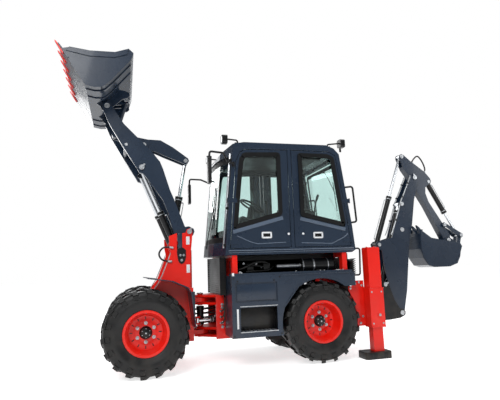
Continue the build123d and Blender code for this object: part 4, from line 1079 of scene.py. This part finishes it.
def dressPanels():
    nosing = bmesh.new()
    for z in (0.796, 0.472):
        addPair(nosing, block((0.515, 0.012, 0.012), 0.003), -1.442, 0.800, z)
    for index in range(9):
        for wide, z in ((0.100, 0.4832), (0.060, 0.8012)):
            addPair(nosing, block((0.030, wide, 0.004), 0.001), -1.230 - 0.053 * index, 0.735, z)
    place(nosing, "stepNosing", "zincSteel")
    niche = bmesh.new()
    addPair(niche, block((0.506, 0.006, 0.296)), -1.440, 0.6735, 0.631)
    for x in (-1.188, -1.692):
        addPair(niche, block((0.004, 0.118, 0.296), 0.001), x, 0.7350, 0.631)
    addPair(niche, block((0.330, 0.008, 0.010)), -1.440, 0.7835, 0.870)
    place(niche, "stepNiche", "blackPaint")
    lids = bmesh.new()
    lid = slab([(-1.680, 0.870), (-1.150, 0.870), (-1.150, 1.080), (-1.680, 1.080)], 0.008, 0.003, 2)
    mirrorPair(lids, lid, faces["lid"])
    mirrorPair(lids, strip([(-1.765, 1.178), (-2.848, 1.178)], 0.016, 0.006, 0.002), faces["panel"])
    angles = [math.radians(22 + 11.3 * index) for index in (0, *range(3, 10))]
    arch = [(0.592 * math.cos(angle) - wheel["base"], 0.592 * math.sin(angle) + wheel["radius"]) for angle in angles]
    mirrorPair(lids, strip(arch, 0.018, 0.006, 0.002), faces["panel"])
    place(lids, "panelTrim", "slatePaint")
    pale = bmesh.new()
    addPair(pale, block((0.024, 0.005, 0.250), 0.0015), -1.153, 0.8020, 0.642)
    addPair(pale, block((0.030, 0.005, 0.060), 0.0015), -1.105, 0.7920, 1.2010)
    place(pale, "reflectors", "paleStrip")
    screws = bmesh.new()
    boltPairs(screws, 0.800, 0.008, 0.006, [(-1.105, 1.160), (-1.105, 0.430), (-1.740, 1.160), (-1.740, 0.430),
                                            (-1.660, 1.120), (-1.160, 1.120)])
    place(screws, "panelBolts", "blackPaint")


shoeLook = {"place": (-3.110, 0.740, 0.0008), "size": (0.398, 0.268, 0.0942), "corner": 0.045, "rim": 0.020}


def dressStabilisers():
    x, y, z = shoeLook["place"]
    long, wide, high = shoeLook["size"]
    for word, side in sides:
        shoe = bmesh.new()
        bmesh.ops.create_grid(shoe, x_segments=1, y_segments=1, size=0.5)
        shift(shoe, at(x, side * y, z) @ Matrix.Diagonal((long, wide, 1, 1)))
        roundCorners(shoe, shoeLook["corner"], 6)
        pull(shoe, (0, 0, high))
        top = [f for f in shoe.faces if f.normal.z > 0.9]
        bmesh.ops.inset_region(shoe, faces=top, thickness=shoeLook["rim"], depth=-0.0010, use_boundary=True)
        soften(shoe, 0.004)
        for step in (-0.120, -0.040, 0.040, 0.120):
            copyInto(shoe, block((0.034, 0.004, 0.060), 0.0015),
                     [at(x + step, side * y + face, 0.046) for face in (-0.1335, 0.1335)])
        place(shoe, "stabiliserShoe_" + word, "blackPaint", "stabiliser_" + word)


def dressSlide():
    plates = bmesh.new()
    shield = [(-3.040, 1.060), (-2.856, 1.060), (-2.856, 0.984), (-2.800, 0.984), (-2.800, 0.930), (-2.870, 0.800),
              (-2.905, 0.620), (-2.902, 0.430), (-3.040, 0.430)]
    mirrorPair(plates, slab(shield, 0.012, 0.002), 0.6622)
    for z, wide in ((0.952, 0.010), (0.424, 0.016)):
        mirrorPair(plates, strip([(-3.036, z), (-3.264, z)], wide, 0.006, 0.002), faces["slide"])
    place(plates, "slideShields", "redPaint")
    bosses = bmesh.new()
    facePair(bosses, disc(0.034, 0.010, 0.003, 36), -3.177, faces["slide"], 0.583)
    place(bosses, "slideBosses", "redPaint")
    bolts = bmesh.new()
    boltPairs(bolts, 0.8395, 0.014, 0.010, [(-3.177, 0.583)])
    boltPairs(bolts, 0.6742, 0.013, 0.010, [(-2.907, 1.020), (-2.971, 1.036), (-3.010, 0.990), (-2.830, 0.955),
                                            (-3.002, 0.561), (-2.960, 0.470)])
    boltPairs(bolts, faces["slide"], 0.009, 0.007, [(-3.075, 0.900), (-3.225, 0.900), (-3.075, 0.470),
                                                    (-3.225, 0.470)])
    place(bolts, "slideBolts", "zincSteel")
    caps = bmesh.new()
    addPair(caps, block((0.186, 0.156, 0.012), 0.005), -3.150, 0.740, 1.5175)
    for step in (-0.06, 0.06):
        addPair(caps, bolt(0.010, 0.008), -3.150 + step, 0.740, 1.5225, upward)
    place(caps, "tubeCaps", "redPaint")


def dressTower():
    strap = [(-0.497, 1.562), (-0.442, 1.562), (-0.442, 1.772), (-0.450, 1.792), (-0.469, 1.800), (-0.488, 1.792),
             (-0.497, 1.772)]
    straps = bmesh.new()
    mirrorPair(straps, slab(strap, 0.016, 0.003, 2), 0.3870)
    place(straps, "towerStraps", "slatePaint", "front_frame")
    fittings = bmesh.new()
    for x, z, rise in ((-0.372, 1.592, 0.27), (-0.352, 1.410, 0.08)):
        way = aim((1, 0, rise))
        add(fittings, disc(0.018, 0.030, 0.002, 6), at(x - 0.004, 0.4173, z) @ way)
        add(fittings, disc(0.0150, 0.050, 0.002, 24), at(x, 0.4173, z) @ way)
    place(fittings, "towerHoseFittings", "zincSteel", "front_frame")
    line = [(-0.337, 1.520), (-0.334, 1.506), (-0.196, 1.158), (-0.118, 1.060), (-0.112, 1.000)]
    hosePair("towerLine*", "front_frame", [(x, 0.398, z) for x, z in line], 0.0065, "zincSteel")
    plates = bmesh.new()
    for z in (1.690, 1.310):
        addPair(plates, block((0.046, 0.003, 0.110), 0.001), -0.575, 0.4065, z)
    place(plates, "towerPlates", "paleStrip", "front_frame")


def dressJoint():
    fittings = bmesh.new()
    for index, z in enumerate((0.560, 0.640, 0.720)):
        facePair(fittings, disc(0.017, 0.026, 0.002, 6), -1.020, 0.330, z)
        facePair(fittings, disc(0.012, 0.050, 0.002, 24), -1.020, 0.330, z)
        points = [(-1.020, 0.370, z), (-1.020, 0.412, z), (-1.058, 0.424, z + 0.030),
                  (-1.066, 0.424, 0.860 + 0.02 * index),
                  (-1.064, 0.400, 0.930)]
        hosePair("jointHose*" + str(index), "rear_frame", points, 0.010)
    place(fittings, "jointFittings", "zincSteel")
    ram = bmesh.new()
    base, eye = Vector((-1.420, 0.150, 0.600)), Vector((-0.715, 0.235, 0.600))
    way = (eye - base).normalized()
    for reach, wide in ((0.490, 0.010), (0.524, 0.006)):
        add(ram, sleeve(0.031, 0.0365, wide, 36), at(*(base + way * reach)) @ aim(way))
    for reach in (0.10, 0.46):
        add(ram, disc(0.011, 0.030, 0.002, 6), at(*(base + way * reach)) @ move(0, 0, 0.028))
    place(ram, "steerFittings", "zincSteel", "steer_barrel")


def dressSwivel():
    # hoses from both frames meet at a drum on the steering axis
    drum = lathe([(0, 0), (0.050, 0), (0.056, 0.006), (0.056, 0.060), (0.050, 0.066), (0.050, 0.190), (0.056, 0.196),
                  (0.056, 0.250), (0.050, 0.256), (0, 0.256)], 40)
    place(shift(drum, at(axes["steering"], 0, 0.5215)), "swivelDrum", "blackPaint")
    ends = bmesh.new()
    for index in range(8):
        y = 0.026 if index % 2 else -0.026
        z = 0.550 + 0.062 * (index // 2)
        out = y * (3 if index == 3 else 7)    # this one keeps clear of the steering cylinder
        rear = [(-1.158, out, z + 0.02), (-1.040, out, z + 0.02), (-0.930, y * 3, z), (-0.835, y, z)]
        front = [(-0.643, out, z - 0.02), (-0.675, out, z - 0.02), (-0.700, y * 2, z), (-0.7325, y, z)]
        hose("swivelRear" + str(index), "rear_frame", [spot(*point) for point in rear], 0.0105)
        hose("swivelFront" + str(index), "front_frame", [spot(*point) for point in front], 0.0105)
        copyInto(ends, disc(0.0145, 0.009, 0.001, 6),
                 [at(x, y * 1.25, z) @ aim((1, 0, 0)) for x in (-0.850, -0.862)])
    place(ends, "swivelNuts", "zincSteel")


def dressGrille():
    bars = bmesh.new()
    for index in range(16):
        addPair(bars, block((0.052, 0.004, 0.010), 0.0012), -1.040, 0.4815, 0.972 + 0.0295 * index)
    for x in (-1.009, -1.071):
        addPair(bars, block((0.008, 0.006, 0.505), 0.0015), x, 0.4820, 1.1915)
    place(bars, "grilleSides", "blackPlastic")


def dressBuckets():
    strips = bmesh.new()
    under = [(0.746, 3.622), (0.638, 3.599), (0.558, 3.605), (0.507, 3.633), (0.410, 3.733), (0.276, 3.893),
             (0.190, 3.996)]
    copyInto(strips, strip(under, 0.012, 0.050, 0.003), [move(axleX, y, 0) for y in (-0.780, -0.520, 0.470, 0.730)])
    place(strips, "bucketStrips", "slatePaint", "loader_bucket")
    lip = bmesh.new()
    for index in range(7):
        y = -0.866 + 1.732 / 6 * index
        for x, aside, z in ((1.020, -0.012, 4.050), (1.034, 0.012, 4.072)):
            add(lip, bolt(0.008, 0.006), at(x, y + aside, z) @ aim((0.84, 0, -0.54)))
    place(lip, "toothBolts", "zincSteel", "loader_bucket")
    cutters = bmesh.new()
    edge = [(-4.414, 1.816), (-4.406, 1.704), (-4.404, 1.504), (-4.434, 1.364), (-4.514, 1.249), (-4.614, 1.219)]
    mirrorPair(cutters, strip(edge, 0.040, 0.008, 0.003), faces["hoeBucket"])
    mirrorPair(cutters, strip([(-4.900, 1.222), (-5.030, 1.268), (-5.096, 1.372)], 0.030, 0.006, 0.003),
               faces["hoeBucket"])
    place(cutters, "hoeCutters", "slatePaint", "hoe_bucket")
    clamps = bmesh.new()
    for x, z, turn in ((-4.701, 2.645, 0.5), (-4.462, 2.958, -0.7), (-4.688, 2.806, -0.9)):
        add(clamps, clamp((0.034, 0.050, 0.026), 0.005, 0.012), at(x, 0.030, z) @ about("Y", turn))
    place(clamps, "dipperClamps", "zincSteel", "dipper")


for step in (dressEngine, dressPanels, dressStabilisers, dressSlide, dressTower, dressJoint, dressSwivel,
             dressGrille,
             dressBuckets):
    step()
print("panels, stabilisers, joint and buckets done")

# floor, light and camera

studio = {"floorGlow": 0.67, "floorHalf": 60, "worldLight": 0.4, "aimAt": (-0.2, 0, 1.6)}


def makeFloor():
    material = bpy.data.materials.new("studioFloor")
    material.use_nodes = True
    tree = material.node_tree
    body = tree.nodes["Principled BSDF"]
    where = addNode(tree, "ShaderNodeTexCoord").outputs["Object"]
    tree.links.new(addMix(tree, addNoise(tree, where, 3.0), (0.86, 0.86, 0.86, 1), (0.9, 0.9, 0.9, 1)),
                   body.inputs["Base Color"])
    body.inputs["Roughness"].default_value = 0.9
    body.inputs["Specular IOR Level"].default_value = 0.1
    glow = addNode(tree, "ShaderNodeEmission")
    glow.inputs["Strength"].default_value = studio["floorGlow"]
    rays = addNode(tree, "ShaderNodeLightPath")
    seen = addMath(tree, "MAXIMUM", rays.outputs["Is Camera Ray"],
                   addMath(tree, "MAXIMUM", rays.outputs["Is Glossy Ray"], rays.outputs["Is Transmission Ray"]))
    dark = addNode(tree, "ShaderNodeEmission")
    dark.inputs["Strength"].default_value = 0.0
    both = addNode(tree, "ShaderNodeAddShader")
    tree.links.new(body.outputs[0], both.inputs[0])
    tree.links.new(mixShaders(tree, seen, dark, glow), both.inputs[1])
    tree.links.new(both.outputs[0], tree.nodes["Material Output"].inputs["Surface"])
    shape = bmesh.new()
    bmesh.ops.create_grid(shape, x_segments=4, y_segments=4, size=studio["floorHalf"])
    floor = show("floor", toMesh("floor", shape))
    floor.data.materials.append(material)


def makeWorld():
    world = bpy.data.worlds.new("studio")
    bpy.context.scene.world = world
    world.use_nodes = True
    tree = world.node_tree
    backing = tree.nodes["Background"]
    backing.inputs["Color"].default_value = (1, 1, 1, 1)
    backing.inputs["Strength"].default_value = 1.0
    dim = addNode(tree, "ShaderNodeBackground")
    dim.inputs["Color"].default_value = (0.96, 0.98, 1, 1)
    dim.inputs["Strength"].default_value = studio["worldLight"]
    rays = addNode(tree, "ShaderNodeLightPath")
    seen = addMath(tree, "MAXIMUM", rays.outputs["Is Camera Ray"], rays.outputs["Is Transmission Ray"])
    tree.links.new(mixShaders(tree, seen, dim, backing), tree.nodes["World Output"].inputs["Surface"])


lights = {
    "keySoftbox": {"place": (5.5, 8.0, 7.5), "size": 5.0, "power": 620},
    "topSoftbox": {"place": (-1.0, 1.0, 9.5), "size": 7.0, "power": 420},
    "rearFill": {"place": (-8.5, 5.5, 4.5), "size": 4.0, "power": 180},
    "farFill": {"place": (3.0, -9.0, 6.0), "size": 5.0, "power": 260},
}


def makeLights():
    target = Vector(studio["aimAt"])
    for name, look in lights.items():
        lamp = bpy.data.lights.new(name, "AREA")
        lamp.shape = "SQUARE"
        lamp.size = look["size"]
        lamp.energy = look["power"]
        holder = show(name, lamp)
        holder.location = look["place"]
        holder.rotation_euler = (target - Vector(look["place"])).to_track_quat("-Z", "Y").to_euler()


view = {"place": (0.2641, 6.7282, 1.2963), "yaw": 0.2685, "pitch": 0.1451, "roll": -0.0345,
        "focal": 461.49, "frameWidth": 500, "sensor": 36.0}


def makeCamera():
    yaw, pitch, roll = view["yaw"], view["pitch"], view["roll"]
    ahead = Vector((-math.sin(yaw), -math.cos(yaw), 0)) * math.cos(pitch) + Vector((0, 0, math.sin(pitch)))
    level = Vector((-math.cos(yaw), math.sin(yaw), 0))
    upright = level.cross(ahead)
    right = level * math.cos(roll) + upright * math.sin(roll)
    up = upright * math.cos(roll) - level * math.sin(roll)
    lens = bpy.data.cameras.new("viewCamera")
    lens.sensor_width = view["sensor"]
    lens.lens = view["focal"] / view["frameWidth"] * view["sensor"]
    lens.clip_end = 200
    holder = show("viewCamera", lens)
    turn = Matrix((right, up, -ahead)).transposed().to_4x4()
    holder.matrix_world = Matrix.Translation(spot(*view["place"])) @ turn
    bpy.context.scene.camera = holder


makeFloor()
makeWorld()
makeLights()
makeCamera()
bpy.context.scene.view_settings.view_transform = "Standard"
print("floor, light and camera set")
